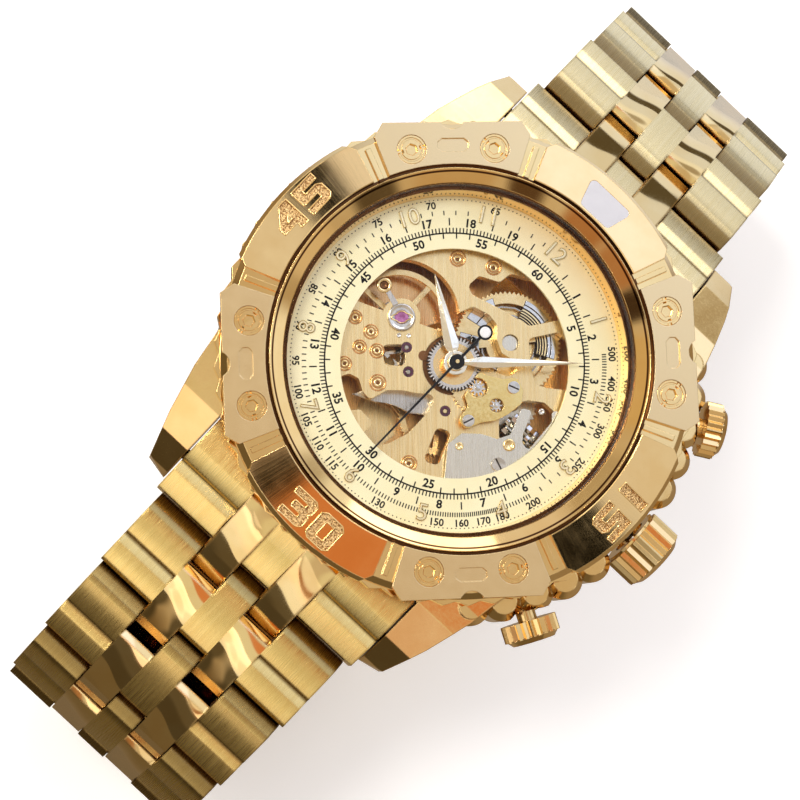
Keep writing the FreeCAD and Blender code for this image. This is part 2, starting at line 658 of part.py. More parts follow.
# ---------------------------------------------------------------- toothed wheels
def tooth_points(teeth, module, phase, x, y):
    """V-shaped teeth: a root and a tip for each, with the first tip at the phase angle."""
    pitch_radius = module * teeth / 2
    points = []
    for k in range(2 * teeth):
        radius = pitch_radius + (0.7 * module if k % 2 == 0 else -1.3 * module)
        angle = math.radians(phase + 180.0 * k / teeth)
        points.append((x + radius * math.cos(angle), y + radius * math.sin(angle)))
    return points


def gear(teeth, module, phase, low, high, at=(0, 0)):
    return prism(tooth_points(teeth, module, phase, *at), low, high)


def armed(shape, rim, hub, width, low, high, at, arms=4, turn=0.0):
    """Open up a wheel between hub and rim, leaving straight arms."""
    window = disc(rim, low - 1, high + 1, *at).cut(disc(hub, low - 1, high + 1, *at))
    for k in range(arms):
        bar = Part.makeBox(rim + 1, width, high - low + 2, Vector(0, -width / 2, low - 1))
        bar.rotate(Vector(), Vector(0, 0, 1), turn + 360.0 * k / arms)
        bar.translate(Vector(at[0], at[1], 0))
        window = window.cut(bar)
    return shape.cut(window)


def line_up(driver_teeth, driver_phase, driven_teeth, direction):
    """Phase of the driven wheel whose gap meets the driver's tooth on the line of centres."""
    pitch = 360.0 / driver_teeth
    ahead = (driver_phase - direction) % pitch
    return direction + 180.0 - ahead * driver_teeth / driven_teeth + 180.0 / driven_teeth


def bearing(first, second):
    return math.degrees(math.atan2(second[1] - first[1], second[0] - first[0]))


def count(name):
    return int(round(getattr(S, name).number))


def spot(name):
    return getattr(S, name + "_x").number, getattr(S, name + "_y").number


def spiral_strip(inner, outer, turns, thickness, low, high, at, steps):
    """Flat spiral spring as a strip of straight facets."""
    total = int(turns * steps)
    outside, inside = [], []
    for k in range(total + 1):
        angle = 2 * math.pi * k / steps
        radius = inner + (outer - inner) * k / total
        for points, shift in ((outside, thickness / 2), (inside, -thickness / 2)):
            points.append((at[0] + (radius + shift) * math.cos(angle),
                           at[1] + (radius + shift) * math.sin(angle)))
    return prism(outside + inside[::-1], low, high)


centre = (0.0, 0.0)
MODULES = {}
for wheel, pinion, first, second in (("barrel", "centre", "barrel", None), ("centre", "third", None, "third"),
                                     ("third", "fourth", "third", None),
                                     ("fourth", "escape", None, "escape")):
    start = spot(first) if first else centre
    end = spot(second) if second else centre
    MODULES[wheel] = 2 * math.dist(start, end) / (count(wheel + "_teeth") + count(pinion + "_leaves"))
MODULES["ratchet"] = (2 * math.dist(spot("barrel"), spot("transfer"))
                      / (count("ratchet_teeth") + count("transfer_teeth")))
MODULES["cannon"] = 2 * math.dist(centre, spot("minute")) / (count("cannon_teeth") + count("minute_teeth"))
MODULES["hour"] = 2 * math.dist(centre, spot("minute")) / (count("hour_teeth") + count("minute_leaves"))

# Heights of the train, counted from the train bridge.
fourth_low = bridge_top + 0.2
third_low = fourth_low + 0.55
ratchet_low = bridge_top + 0.7
centre_low = fourth_low + 1.05
escape_low = centre_low + 0.55
balance_low = escape_low + 0.55
barrel_low = centre_low + 0.5
barrel_top = barrel_low + S.barrel_height
barrel_gear_low = barrel_top - 0.45


def arbor(name, axis, low, high, radius=None):
    x, y = getattr(S, axis + "_x"), getattr(S, axis + "_y")
    return rod(name, radius or S.arbor_radius, high - low, x, y, low)


def make_train():
    thick = S.wheel_thickness.number
    at = spot("barrel")
    low, high, gear_low = barrel_low.number, barrel_top.number, barrel_gear_low.number
    teeth, module = count("barrel_teeth"), MODULES["barrel"]
    drum_radius = module * teeth / 2 - 3 * module
    wall = 0.25
    drum = gear(teeth, module, 0, gear_low, high, at).fuse(disc(drum_radius, low, gear_low, *at))
    hollow = disc(drum_radius - wall, low + wall, high - wall, *at)
    bore = disc(S.barrel_arbor.number + S.fit_gap.number, low - 1, high + 1, *at)
    drum = drum.cut(hollow).cut(bore)
    for turn in (20, 140, 260):
        window = disc(drum_radius - 0.7, high - 2 * wall, high + 1, *at)
        window = window.cut(disc(2.2, high - 1, high + 2, *at))
        wedge = prism([centre, (9, -5.2), (9, 5.2)], high - 1, high + 2)
        wedge.rotate(Vector(), Vector(0, 0, 1), turn)
        wedge.translate(Vector(at[0], at[1], 0))
        drum = drum.cut(window.common(wedge))
    keep("barrel", shaped("barrel", drum))
    spring_low = low + wall + 0.1
    keep("mainspring", shaped("mainspring", spiral_strip(
        1.3, drum_radius - wall - 0.25, S.spring_turns.number, 0.16, spring_low,
        spring_low + S.spring_width.number, at, 18)))

    ratchet = gear(count("ratchet_teeth"), MODULES["ratchet"], 0, ratchet_low.number,
                   ratchet_low.number + 0.35, at)
    post = arbor("ratchet_arbor", "barrel", bridge_low + 0.1, plate_top - 0.4, S.barrel_arbor)
    keep("ratchet_wheel", fuse("ratchet_wheel", [shaped("ratchet_disc", ratchet), post]))
    phase = line_up(count("ratchet_teeth"), 0, count("transfer_teeth"), bearing(at, spot("transfer")))
    transfer = gear(count("transfer_teeth"), MODULES["ratchet"], phase, ratchet_low.number,
                    ratchet_low.number + 0.35, spot("transfer"))
    bore = disc(transfer_post + S.fit_gap.number, 0, 9, *spot("transfer"))
    keep("crown_wheel", shaped("crown_wheel", transfer.cut(bore)))

    to_centre = bearing(at, centre)
    phase = line_up(teeth, 0, count("centre_leaves"), to_centre)
    pinion = gear(count("centre_leaves"), module, phase, gear_low - 0.1, high + 0.1)
    low = centre_low.number
    disc_shape = gear(count("centre_teeth"), MODULES["centre"], 0, low, low + thick)
    disc_shape = armed(disc_shape, 3.6, 0.95, 0.5, low, low + thick, centre, turn=20)
    tube = rod("centre_tube", tube_radius, minute_hand_low - centre_low, z=centre_low - 0.1)
    centre_body = fuse("centre_body", [shaped("centre_pinion", pinion), shaped("centre_disc", disc_shape), tube])
    hole = rod("centre_hole", S.arbor_radius + S.fit_gap, 12, z=centre_low - 1)
    keep("centre_wheel", cut("centre_wheel", centre_body, [hole]))

    at = spot("third")
    direction = bearing(centre, at)
    phase = line_up(count("centre_teeth"), 0, count("third_leaves"), direction)
    pinion = gear(count("third_leaves"), MODULES["centre"], phase, centre_low.number - 0.08,
                  centre_low.number + thick + 0.1, at)
    low = third_low.number
    disc_shape = gear(count("third_teeth"), MODULES["third"], 0, low, low + thick, at)
    disc_shape = armed(disc_shape, 3.5, 0.9, 0.5, low, low + thick, at, turn=35)
    shaft = arbor("third_arbor", "third", bridge_low + 0.1, plate_top - 0.1)
    keep("third_wheel", fuse("third_wheel", [shaped("third_pinion", pinion), shaped("third_disc", disc_shape),
                                             shaft]))

    phase = line_up(count("third_teeth"), 0, count("fourth_leaves"), bearing(at, centre))
    pinion = gear(count("fourth_leaves"), MODULES["third"], phase, third_low.number - 0.1,
                  third_low.number + thick + 0.1)
    low = fourth_low.number
    disc_shape = gear(count("fourth_teeth"), MODULES["fourth"], 0, low, low + thick)
    disc_shape = armed(disc_shape, 3.7, 0.8, 0.45, low, low + thick, centre, turn=60)
    shaft = rod("fourth_arbor", S.arbor_radius, second_low + S.hand_thickness + 0.15 - bridge_low - 0.1,
                z=bridge_low + 0.1)
    keep("fourth_wheel", fuse("fourth_wheel", [shaped("fourth_pinion", pinion),
                                               shaped("fourth_disc", disc_shape), shaft]))

    at = spot("escape")
    phase = line_up(count("fourth_teeth"), 0, count("escape_leaves"), bearing(centre, at))
    pinion = gear(count("escape_leaves"), MODULES["fourth"], phase, low - 0.1, low + thick + 0.15, at)
    low = escape_low.number
    teeth = count("escape_teeth")
    points = []
    for k in range(teeth):
        for shift, radius in ((-0.75, S.escape_radius.number - 0.6), (-0.28, S.escape_radius.number - 0.65),
                              (0.0, S.escape_radius.number)):
            angle = 2 * math.pi * (k + shift) / teeth
            points.append((at[0] + radius * math.cos(angle), at[1] + radius * math.sin(angle)))
    disc_shape = armed(prism(points, low, low + thick), 1.15, 0.45, 0.3, low, low + thick, at, turn=10)
    shaft = arbor("escape_arbor", "escape", bridge_low + 0.1, plate_top - 0.1)
    keep("escape_wheel", fuse("escape_wheel", [shaped("escape_pinion", pinion),
                                               shaped("escape_disc", disc_shape), shaft]))


def make_escapement():
    thick = S.wheel_thickness.number
    low = escape_low.number
    pivot, wheel, balance = spot("pallet"), spot("escape"), spot("balance")
    to_wheel = math.radians(bearing(pivot, wheel))
    to_balance = math.radians(bearing(pivot, balance))
    reach = math.dist(pivot, balance) - roller_radius - 0.25
    clear = S.escape_radius.number + 0.32

    def from_pivot(along, across, angle):
        return (pivot[0] + along * math.cos(angle) - across * math.sin(angle),
                pivot[1] + along * math.sin(angle) + across * math.cos(angle))

    body = disc(0.42, low, low + thick, *pivot)
    lever = prism([from_pivot(0, -0.22, to_balance), from_pivot(reach - 0.5, -0.14, to_balance),
                   from_pivot(reach, -0.36, to_balance), from_pivot(reach, -0.13, to_balance),
                   from_pivot(reach - 0.35, 0.0, to_balance), from_pivot(reach, 0.13, to_balance),
                   from_pivot(reach, 0.36, to_balance), from_pivot(reach - 0.5, 0.14, to_balance),
                   from_pivot(0, 0.22, to_balance)], low, low + thick)
    body = body.fuse(lever)
    gap = math.dist(pivot, wheel)
    for side in (1, -1):
        swing = math.radians(38) * side
        away = to_wheel + math.pi + swing
        tip = (wheel[0] + clear * math.cos(away), wheel[1] + clear * math.sin(away))
        far = (wheel[0] + (clear + 0.55) * math.cos(away), wheel[1] + (clear + 0.55) * math.sin(away))
        half = 0.2
        across = (-math.sin(away) * half, math.cos(away) * half)
        body = body.fuse(prism([(tip[0] - across[0], tip[1] - across[1]),
                                (tip[0] + across[0], tip[1] + across[1]),
                                (far[0] + across[0], far[1] + across[1]),
                                (far[0] - across[0], far[1] - across[1])], low, low + thick))
        arm_angle = math.atan2(far[1] - pivot[1], far[0] - pivot[0])
        length = math.dist(far, pivot)
        body = body.fuse(prism([from_pivot(0, -0.2, arm_angle), from_pivot(length, -0.16, arm_angle),
                                from_pivot(length, 0.16, arm_angle), from_pivot(0, 0.2, arm_angle)],
                               low, low + thick))
    shaft = arbor("pallet_arbor", "pallet", bridge_low + 0.1, plate_top - 0.1)
    keep("pallet_fork", fuse("pallet_fork", [shaped("pallet_body", body.removeSplitter()), shaft]))

    x, y = S.balance_x, S.balance_y
    rim = cut("balance_hoop", rod("balance_blank", S.balance_radius, S.balance_thickness, x, y, balance_low),
              [rod("balance_inside", S.balance_radius - S.balance_rim, 2, x, y, balance_low - 0.5)])
    inside = S.balance_radius - S.balance_rim / 2
    arms = [block("balance_arm_x", 2 * inside, 0.55, 0.3, x - inside, y - 0.275, balance_low + 0.1),
            block("balance_arm_y", 0.55, 2 * inside, 0.3, x - 0.275, y - inside, balance_low + 0.1)]
    staff = arbor("balance_staff", "balance", bridge_low + 0.1, shock_low + 0.3)
    hub = rod("balance_hub", 0.6, 0.5, x, y, balance_low)
    collet = rod("balance_collet", 0.5, 0.45, x, y, hairspring_low - 0.1)
    roller = rod("balance_roller", roller_radius, 0.2, x, y, balance_low - 0.22)
    keep("balance_wheel", fuse("balance_wheel", [rim] + arms + [staff, hub, collet, roller]))
    keep("hairspring", shaped("hairspring", spiral_strip(
        0.65, S.hairspring_radius.number, S.hairspring_turns.number, 0.09, hairspring_low.number,
        hairspring_low.number + 0.25, spot("balance"), 14)))


tube_radius = as_size(0.5)
roller_radius = 0.55
transfer_post = 0.6
cannon_low = plate_top + 0.05
hour_low = cannon_low + 0.4
hour_hand_low = dial_top + 0.25
minute_hand_low = hour_hand_low + S.hand_thickness + 0.25
second_low = minute_hand_low + S.hand_thickness + 0.25
shock_low = plate_top - 0.5
hairspring_low = bridge_top + 0.75


# ---------------------------------------------------------------- motion work and hands
def make_motion_work():
    low = cannon_low
    at = spot("minute")
    to_minute = bearing(centre, at)
    teeth = shaped("cannon_teeth", gear(count("cannon_teeth"), MODULES["cannon"], 0, low.number,
                                        low.number + 0.35))
    pipe = rod("cannon_pipe", cannon_radius, minute_hand_low - low, z=low)
    bore = rod("cannon_bore", tube_radius, 6, z=low - 1)
    keep("cannon_pinion", cut("cannon_pinion", fuse("cannon_body", [teeth, pipe]), [bore]))
    phase = line_up(count("cannon_teeth"), 0, count("minute_teeth"), to_minute)
    wheel = gear(count("minute_teeth"), MODULES["cannon"], phase, low.number + 0.05, low.number + 0.25, at)
    pinion = gear(count("minute_leaves"), MODULES["hour"], 0, low.number + 0.25, low.number + 0.7, at)
    hole = disc(minute_post + S.fit_gap.number, 0, 12, *at)
    keep("minute_wheel", shaped("minute_wheel", wheel.fuse(pinion).cut(hole)))
    phase = line_up(count("minute_leaves"), 0, count("hour_teeth"), bearing(at, centre))
    wheel = gear(count("hour_teeth"), MODULES["hour"], phase, hour_low.number, hour_low.number + 0.22)
    pipe = rod("hour_pipe", hour_pipe_radius, hour_hand_low - hour_low, z=hour_low)
    bore = rod("hour_bore", cannon_radius + S.fit_gap, 6, z=low)
    keep("hour_wheel", cut("hour_wheel", fuse("hour_body", [shaped("hour_disc", wheel), pipe]), [bore]))


def lance(name, length, width, hub, bore, low, angle, tail):
    """Lance-shaped hand with a ridge line left to the finish; turned to its clock angle."""
    back = as_size(hub).number * 0.6
    plan = [(-back, -width * 0.32), (length * 0.3, -width / 2), (length, 0),
            (length * 0.3, width / 2), (-back, width * 0.32)]
    if tail:
        plan = [(-tail, -width / 2), (length, -width * 0.3), (length, width * 0.3), (-tail, width / 2)]
    blade = slab(name + "_blade", plan, low, low + S.hand_thickness)
    boss = rod(name + "_boss", hub, S.hand_thickness, z=low)
    pieces = [blade, boss]
    if tail:
        pieces.append(rod(name + "_disc", S.second_disc, S.hand_thickness, -tail, 0, low))
    whole = fuse(name + "_whole", pieces)
    if bore is not None:
        whole = cut(name + "_pierced", whole, [rod(name + "_bore", bore, 2, z=low - 1)])
    keep(name, turned_round(name, whole, 90 - angle))


def make_hands():
    lance("hour_hand", S.hour_length, S.hour_width, hour_pipe_radius + 0.15, cannon_radius + S.fit_gap,
          hour_hand_low, S.hour_angle, None)
    lance("minute_hand", S.minute_length, S.minute_width, cannon_radius + 0.1, S.arbor_radius + S.fit_gap,
          minute_hand_low, S.minute_angle, None)
    lance("second_hand", S.second_length, S.second_width, 0.74, S.arbor_radius, second_low,
          S.second_angle, S.second_tail)


cannon_radius = as_size(0.75)
hour_pipe_radius = as_size(1.1)
minute_post = 0.3


# ---------------------------------------------------------------- plates and bridges
# Windows of the main plate in plan, as seen from the dial side.
BARREL_CRESCENT = [(-4.3, 7.0), (-3.4, 6.6), (-0.1, 7.6), (3.0, 8.3), (5.2, 11.4), (0.5, 12.4), (-2.0, 10.9),
                   (-2.2, 9.5), (-4.2, 8.5)]
BARREL_SIDE = [(3.8, 7.3), (5.0, 6.2), (6.5, 4.9), (7.6, 4.4), (8.6, 4.9), (10.4, 6.3), (7.4, 10.0), (5.6, 9.9)]
CENTRE_WINDOW = [(-3.1, 4.4), (-2.5, 5.8), (-0.7, 6.3), (0.5, 6.1), (1.5, 5.0), (2.8, 4.3), (4.3, 4.6),
                 (5.3, 4.1), (4.9, 3.0), (3.4, 2.3), (1.7, 1.5), (0, 1.9), (-1.9, 1.6), (-2.8, 3.0)]
ESCAPE_WINDOW = [(-8.2, -10.0), (-7.0, -7.9), (-6.0, -7.6), (-4.8, -8.3), (-3.7, -8.4), (-3.1, -6.5),
                 (-1.9, -5.4), (-0.9, -4.8), (0.9, -3.4), (1.4, -5.5), (1.4, -8.2), (0.6, -10.4),
                 (-0.6, -12.0), (-2.0, -11.6), (-1.7, -9.9), (-3.8, -9.8), (-5.2, -11.5)]
KEYLESS_WINDOW = [(7.1, 1.2), (8.0, 2.6), (9.4, 3.6), (11.0, 3.6), (12.9, 2.0), (13.3, 0.9), (13.3, -0.9),
                  (11.8, -2.1), (10.6, -2.4), (8.4, -2.2), (7.2, -0.9)]
LOWER_SLOT = [(3.1, -5.8), (4.5, -5.1), (5.8, -8.5), (4.4, -9.3)]
FORK_SLOT = [(-6.6, -3.5), (-4.9, -4.9), (-3.4, -3.4), (-5.0, -1.9)]
PLATE_HOLES = [(-6.95, 8.3, 0.7), (-3.7, 10.2, 0.7), (-10.45, -3.3, 0.6), (-8.1, -5.2, 0.6),
               (6.6, 5.2 - 3.0, 0.4), (3.5, -10.4, 0.7)]
# Pillars of the train bridge, in degrees from the crown.
PILLARS = [-38, -95, 113]


def jewel_bore(tools, axis, radius=0.56):
    tools.append(disc(radius, 0, 20, *spot(axis)))


def make_plates():
    low, top = plate_low.number, plate_top.number
    outer = (S.case_bore - S.fit_gap - S.ring_wall - S.fit_gap).number
    plate = disc(outer, low, top)
    balance = spot("balance")
    windows = [soft_prism(points, 0.55, low - 1, top + 1) for points in
               (BARREL_CRESCENT, BARREL_SIDE, CENTRE_WINDOW, ESCAPE_WINDOW, KEYLESS_WINDOW, LOWER_SLOT,
                FORK_SLOT)]
    opening = disc(S.balance_radius.number + 0.75, low - 1, top + 1, *balance)
    opening = opening.cut(disc(1.95, low - 2, top + 2, *balance))
    cock_side = soft_prism([(0, 0), (9.6, 4.4), (9.6, -12), (-7.2, -12), (-9.4, -4.0)], 0.3, low - 2, top + 2)
    cock_side.translate(Vector(balance[0], balance[1], 0))
    opening = opening.cut(cock_side)
    windows.append(opening)
    for x, y, radius in PLATE_HOLES:
        windows.append(disc(radius, low - 1, top + 1, x, y))
    windows.append(disc(tube_radius.number + S.fit_gap.number, low - 1, top + 1))
    for axis in ("third", "escape", "pallet"):
        windows.append(disc(jewel_radius, low - 1, top + 1, *spot(axis)))
    windows.append(disc(shock_radius, shock_low.number, top + 1, *balance))
    windows.append(disc(0.6, low - 1, top + 1, *balance))
    windows.append(disc(S.barrel_arbor.number + S.fit_gap.number, low - 1, top + 1, *spot("barrel")))
    windows.append(disc(hour_recess, top - 0.25, top + 1).cut(disc(1.6, top - 1, top + 2)))
    plate = plate.cut(windows)
    posts = [disc(minute_post, top, top + 0.72, *spot("minute")),
             disc(0.45, top, bridge_seat.number, *MOTION_SCREWS[0]),
             disc(0.45, top, bridge_seat.number, *MOTION_SCREWS[1]),
             disc(lever_post, top, lever_low.number + 0.35, S.lever_x.number, -S.lever_reach.number)]
    plate = plate.fuse(posts).removeSplitter()
    keep("main_plate", shaped("main_plate", plate))

    low, top = bridge_low.number, bridge_top.number
    bridge = disc(S.pillar_circle.number + 1.1, low, top)
    opening = disc(S.balance_radius.number + 0.9, low - 1, top + 1, *balance)
    tools = [opening]
    for points in (BRIDGE_WINDOW_LEFT, BRIDGE_WINDOW_RIGHT, BRIDGE_WINDOW_TOP, COCK_BAY):
        tools.append(soft_prism(points, 0.8, low - 1, top + 1))
    for axis in ("third", "escape", "pallet"):
        tools.append(disc(S.arbor_radius.number + S.fit_gap.number, low - 1, top + 1, *spot(axis)))
    tools.append(disc(S.arbor_radius.number + S.fit_gap.number, low - 1, top + 1))
    tools.append(disc(S.barrel_arbor.number + S.fit_gap.number, low - 1, top + 1, *spot("barrel")))
    bridge = bridge.cut(tools)
    feet = [disc(transfer_post, top, ratchet_low.number + 0.6, *spot("transfer"))]
    for angle in PILLARS:
        x = S.pillar_circle.number * math.cos(math.radians(angle))
        y = S.pillar_circle.number * math.sin(math.radians(angle))
        feet.append(disc(S.pillar_radius.number, low, plate_low.number, x, y))
    boss = disc(rotor_post, low - 0.65, low).cut(disc(S.arbor_radius.number + S.fit_gap.number, 0, 9))
    bridge = bridge.fuse(feet + [boss]).removeSplitter()
    keep("train_bridge", shaped("train_bridge", bridge))

    arm = soft_prism(COCK_ARM, 0.6, low, top)
    cock = arm.fuse(disc(0.75, low, plate_low.number, *COCK_FOOT))
    cock = cock.cut(disc(S.arbor_radius.number + S.fit_gap.number, low - 1, top + 1, *balance))
    keep("balance_cock", shaped("balance_cock", cock.removeSplitter()))


jewel_radius = 0.55
shock_radius = 1.4
hour_recess = 3.1
rotor_post = 0.9
lever_post = 0.5
lever_low = plate_top + 0.05
bridge_seat = plate_top + 0.85
MOTION_SCREWS = [(5.98, 2.3), (4.9, -3.35)]
COCK_FOOT = (-11.2, -6.6)
COCK_ARM = [(-7.6, -1.6), (-5.5, 0.4), (-6.6, 1.4), (-8.4, 1.0), (-12.1, -4.6), (-12.5, -6.0),
            (-11.4, -8.0), (-9.9, -6.9)]
COCK_BAY = [(-8.4, -6.2), (-13.0, -3.0), (-15.4, -5.6), (-12.3, -9.6), (-9.3, -8.2)]
BRIDGE_WINDOW_LEFT = [(-1.5, -6.5), (0.9, -6.9), (0.4, -10.8), (-3.4, -10.6), (-4.6, -7.6)]
BRIDGE_WINDOW_RIGHT = [(5.2, -1.2), (9.8, -2.2), (9.6, -6.6), (6.0, -7.2)]
BRIDGE_WINDOW_TOP = [(0.6, 8.9), (5.0, 8.9), (5.2, 11.6), (-2.4, 11.6), (-2.0, 8.6)]


def make_fittings():
    """Jewels, screws and the shock setting, each kind a group of separate solids."""
    rings = []
    for axis in ("third", "escape", "pallet"):
        x, y = getattr(S, axis + "_x"), getattr(S, axis + "_y")
        rings.append(cut("jewel_" + axis, rod("jewel_disc", jewel_radius, 0.4, x, y, plate_top - 0.45),
                         [rod("jewel_hole", S.arbor_radius + S.fit_gap, 2, x, y, plate_top - 1)]))
    x, y = S.balance_x, S.balance_y
    rings.append(rod("jewel_shock", 0.7, 0.3, x, y, shock_low + 0.4))
    keep("jewels", group("jewels", rings))

    ring = cut("shock_ring", rod("shock_disc", shock_radius, 0.75, x, y, shock_low),
               [rod("shock_hole", 0.72, 2, x, y, shock_low - 0.5)])
    screws = [ring]
    for x, y in MOTION_SCREWS:
        screws.append(rod("motion_screw", 0.62, 0.3, x, y, bridge_seat + 0.3))
    screws.append(rod("cover_screw", 0.7, 0.3, COVER_SCREW[0], COVER_SCREW[1], cover_low + 0.3))
    for angle in PILLARS:
        screws.append(rod("bridge_screw", 0.75, 0.2, S.pillar_circle * cos(angle), S.pillar_circle * sin(angle),
                          bridge_low - 0.2))
    keep("movement_screws", group("movement_screws", screws))

    low = bridge_seat.number
    top = low + 0.3
    plan = [(2.3, 1.1), (3.4, 1.5), (4.6, 2.2), (5.5, 3.3), (6.9, 2.8), (7.7, 1.7), (7.4, -0.1), (6.9, -1.4),
            (6.0, -2.5), (5.3, -4.1), (4.1, -3.9), (3.9, -2.2), (2.9, -1.7)]
    bridge = soft_prism(plan, 0.5, low, top)
    bridge = bridge.cut([disc(1.0, low - 1, top + 1, *spot("minute")), disc(0.72, low - 1, top + 1, 5.95, -0.2)])
    keep("motion_bridge", shaped("motion_bridge", bridge))

    low = cover_low.number
    plan = [(5.0, -6.4), (5.3, -4.6), (6.8, -3.3), (8.3, -2.6), (9.0, -1.3), (8.0, 1.4), (9.0, 2.0), (9.9, -0.4),
            (10.4, -1.1), (11.4, -1.3), (11.2, 2.6), (10.4, 3.4), (11.3, 3.9), (12.2, 2.6), (12.5, -2.2),
            (11.6, -5.4), (9.2, -8.6), (7.4, -9.6)]
    cover = soft_prism(plan, 0.35, low, low + 0.3)
    stand = [disc(0.45, plate_top.number, low, *COVER_SCREW), disc(0.4, plate_top.number, low, 5.98, -5.74)]
    keep("keyless_cover", shaped("keyless_cover", cover.fuse(stand)))


cover_low = lever_low + 0.4
COVER_SCREW = (10.1, -4.4)


# ---------------------------------------------------------------- keyless work, crown, pushers
def make_keyless():
    z = S.stem_height
    groove_at = S.lever_x
    stem_end = as_size(7.9)
    outer_end = S.crown_start + 1.5
    parts = [rod("stem_rod", S.stem_radius, outer_end - stem_end, stem_end, 0, z, "X")]
    groove = cut("groove_ring", rod("groove_out", S.stem_radius + 0.3, 0.9, groove_at - 0.45, 0, z, "X"),
                 [rod("groove_in", S.stem_radius - 0.25, 2, groove_at - 1, 0, z, "X")])
    keep("stem", cut("stem", parts[0], [groove]))

    fluted = shaped("crown_flutes", prism(
        [((S.crown_radius.number - (0.3 if k % 2 else 0)) * math.cos(math.pi * k / count("crown_flutes")),
          (S.crown_radius.number - (0.3 if k % 2 else 0)) * math.sin(math.pi * k / count("crown_flutes")))
         for k in range(2 * count("crown_flutes"))], 0, S.crown_length.number - 0.6))
    place(fluted, S.crown_start + 0.3, 0, z, ALONG["X"])
    inner = rod("crown_inner", S.crown_radius - 0.35, 0.35, S.crown_start, 0, z, "X")
    cap = cone("crown_cap", S.crown_radius - 0.15, S.crown_radius - 0.9, 0.5,
               S.crown_start + S.crown_length - 0.3, 0, z, "X")
    socket = rod("crown_socket", S.stem_radius, outer_end - S.crown_start + 0.1, S.crown_start - 0.1, 0, z,
                 "X")
    tube_room = rod("crown_room", S.stem_radius + 1.3, 0.9, S.crown_start - 0.5, 0, z, "X")
    keep("crown", cut("crown", fuse("crown_body", [fluted, inner, cap]), [socket, tube_room]))

    shift = 0.35
    for node, start, length in (("winding_pinion", 8.2, 1.5), ("clutch", 9.9, 1.5)):
        teeth = 12
        points = [((S.pinion_radius.number - (shift if k % 2 else 0)) * math.cos(math.pi * k / teeth),
                   (S.pinion_radius.number - (shift if k % 2 else 0)) * math.sin(math.pi * k / teeth))
                  for k in range(2 * teeth)]
        body = prism(points, 0, length)
        waist = disc(S.pinion_radius.number + 1, length * 0.35, length * 0.65)
        waist = waist.cut(disc(S.pinion_radius.number - 0.5, 0, length))
        if node == "clutch":
            body = body.cut(waist)
        body = body.cut(disc(S.stem_radius.number + S.fit_gap.number, -1, length + 1))
        piece = shaped(node, body)
        piece.Placement = Placement(Vector(start, 0, z.number), ALONG["X"])
        keep(node, piece)

    low = lever_low
    pivot_y = -S.lever_reach
    bar = slab("lever_bar", [(S.lever_x - 0.55, pivot_y), (S.lever_x + 0.55, pivot_y), (S.lever_x + 0.4, 0.3),
                             (S.lever_x - 0.4, 0.3)], low, low + 0.3)
    eye = rod("lever_eye", 0.95, 0.3, S.lever_x, pivot_y, low)
    nose = rod("lever_nose", 0.3, low - (z + S.stem_radius - 0.2) + 0.1, S.lever_x, 0,
               z + S.stem_radius - 0.2)
    hole = rod("lever_hole", lever_post + S.fit_gap, 2, S.lever_x, pivot_y, low - 1)
    keep("setting_lever", cut("setting_lever", fuse("lever_body", [bar, eye, nose]), [hole]))

    for node, side in (("pusher_2", 1), ("pusher_4", -1)):
        angle = side * S.pusher_angle
        stem_start = S.case_bore + S.pusher_travel + 0.4
        stem = radial_rod("pusher_rod", S.pusher_stem, stem_start, S.pusher_start + 0.6 - stem_start, angle)
        rim = coin_edge("pusher_rim", S.pusher_radius, 0.3, S.pusher_teeth, 0, S.pusher_length - 0.5, None)
        turn = Rotation(Vector(0, 0, 1), float(angle)).multiply(ALONG["X"])
        place(rim, S.pusher_start * cos(angle), S.pusher_start * sin(angle), S.stem_height, turn)
        cap = doc.addObject("Part::Cone", "pusher_cap")
        bind(cap, "Radius1", S.pusher_radius - 0.15)
        bind(cap, "Radius2", S.pusher_radius - 0.7)
        bind(cap, "Height", 0.6)
        out = S.pusher_start + S.pusher_length - 0.6
        place(cap, out * cos(angle), out * sin(angle), S.stem_height, turn)
        keep(node, fuse(node, [stem, rim, cap]))


def make_rotor():
    low = as_size(rotor_low)
    sheet_top = low + S.rotor_plate
    wide = turned("rotor_sheet", [(rotor_post + S.fit_gap, low), (S.rotor_radius, low),
                                  (S.rotor_radius, sheet_top), (rotor_post + S.fit_gap, sheet_top)], 180, 200)
    weight = turned("rotor_weight", [(S.rotor_radius - S.rotor_rim, low), (S.rotor_radius, low),
                                     (S.rotor_radius, low + S.rotor_weight),
                                     (S.rotor_radius - S.rotor_rim, low + S.rotor_weight)], 180, 200)
    hub = cut("rotor_hub", rod("rotor_hub_disc", 2.0, S.rotor_plate, z=low),
              [rod("rotor_bore", rotor_post + S.fit_gap, 2, z=low - 0.5)])
    keep("rotor", fuse("rotor", [wide, weight, hub]))


rotor_low = 1.75

# ---------------------------------------------------------------- bracelet
half = S.link_thickness / 2
bar_radius = as_size(0.6)
bar_y = S.lug_tip_y - 2.6
bar_z = as_size(3.0)


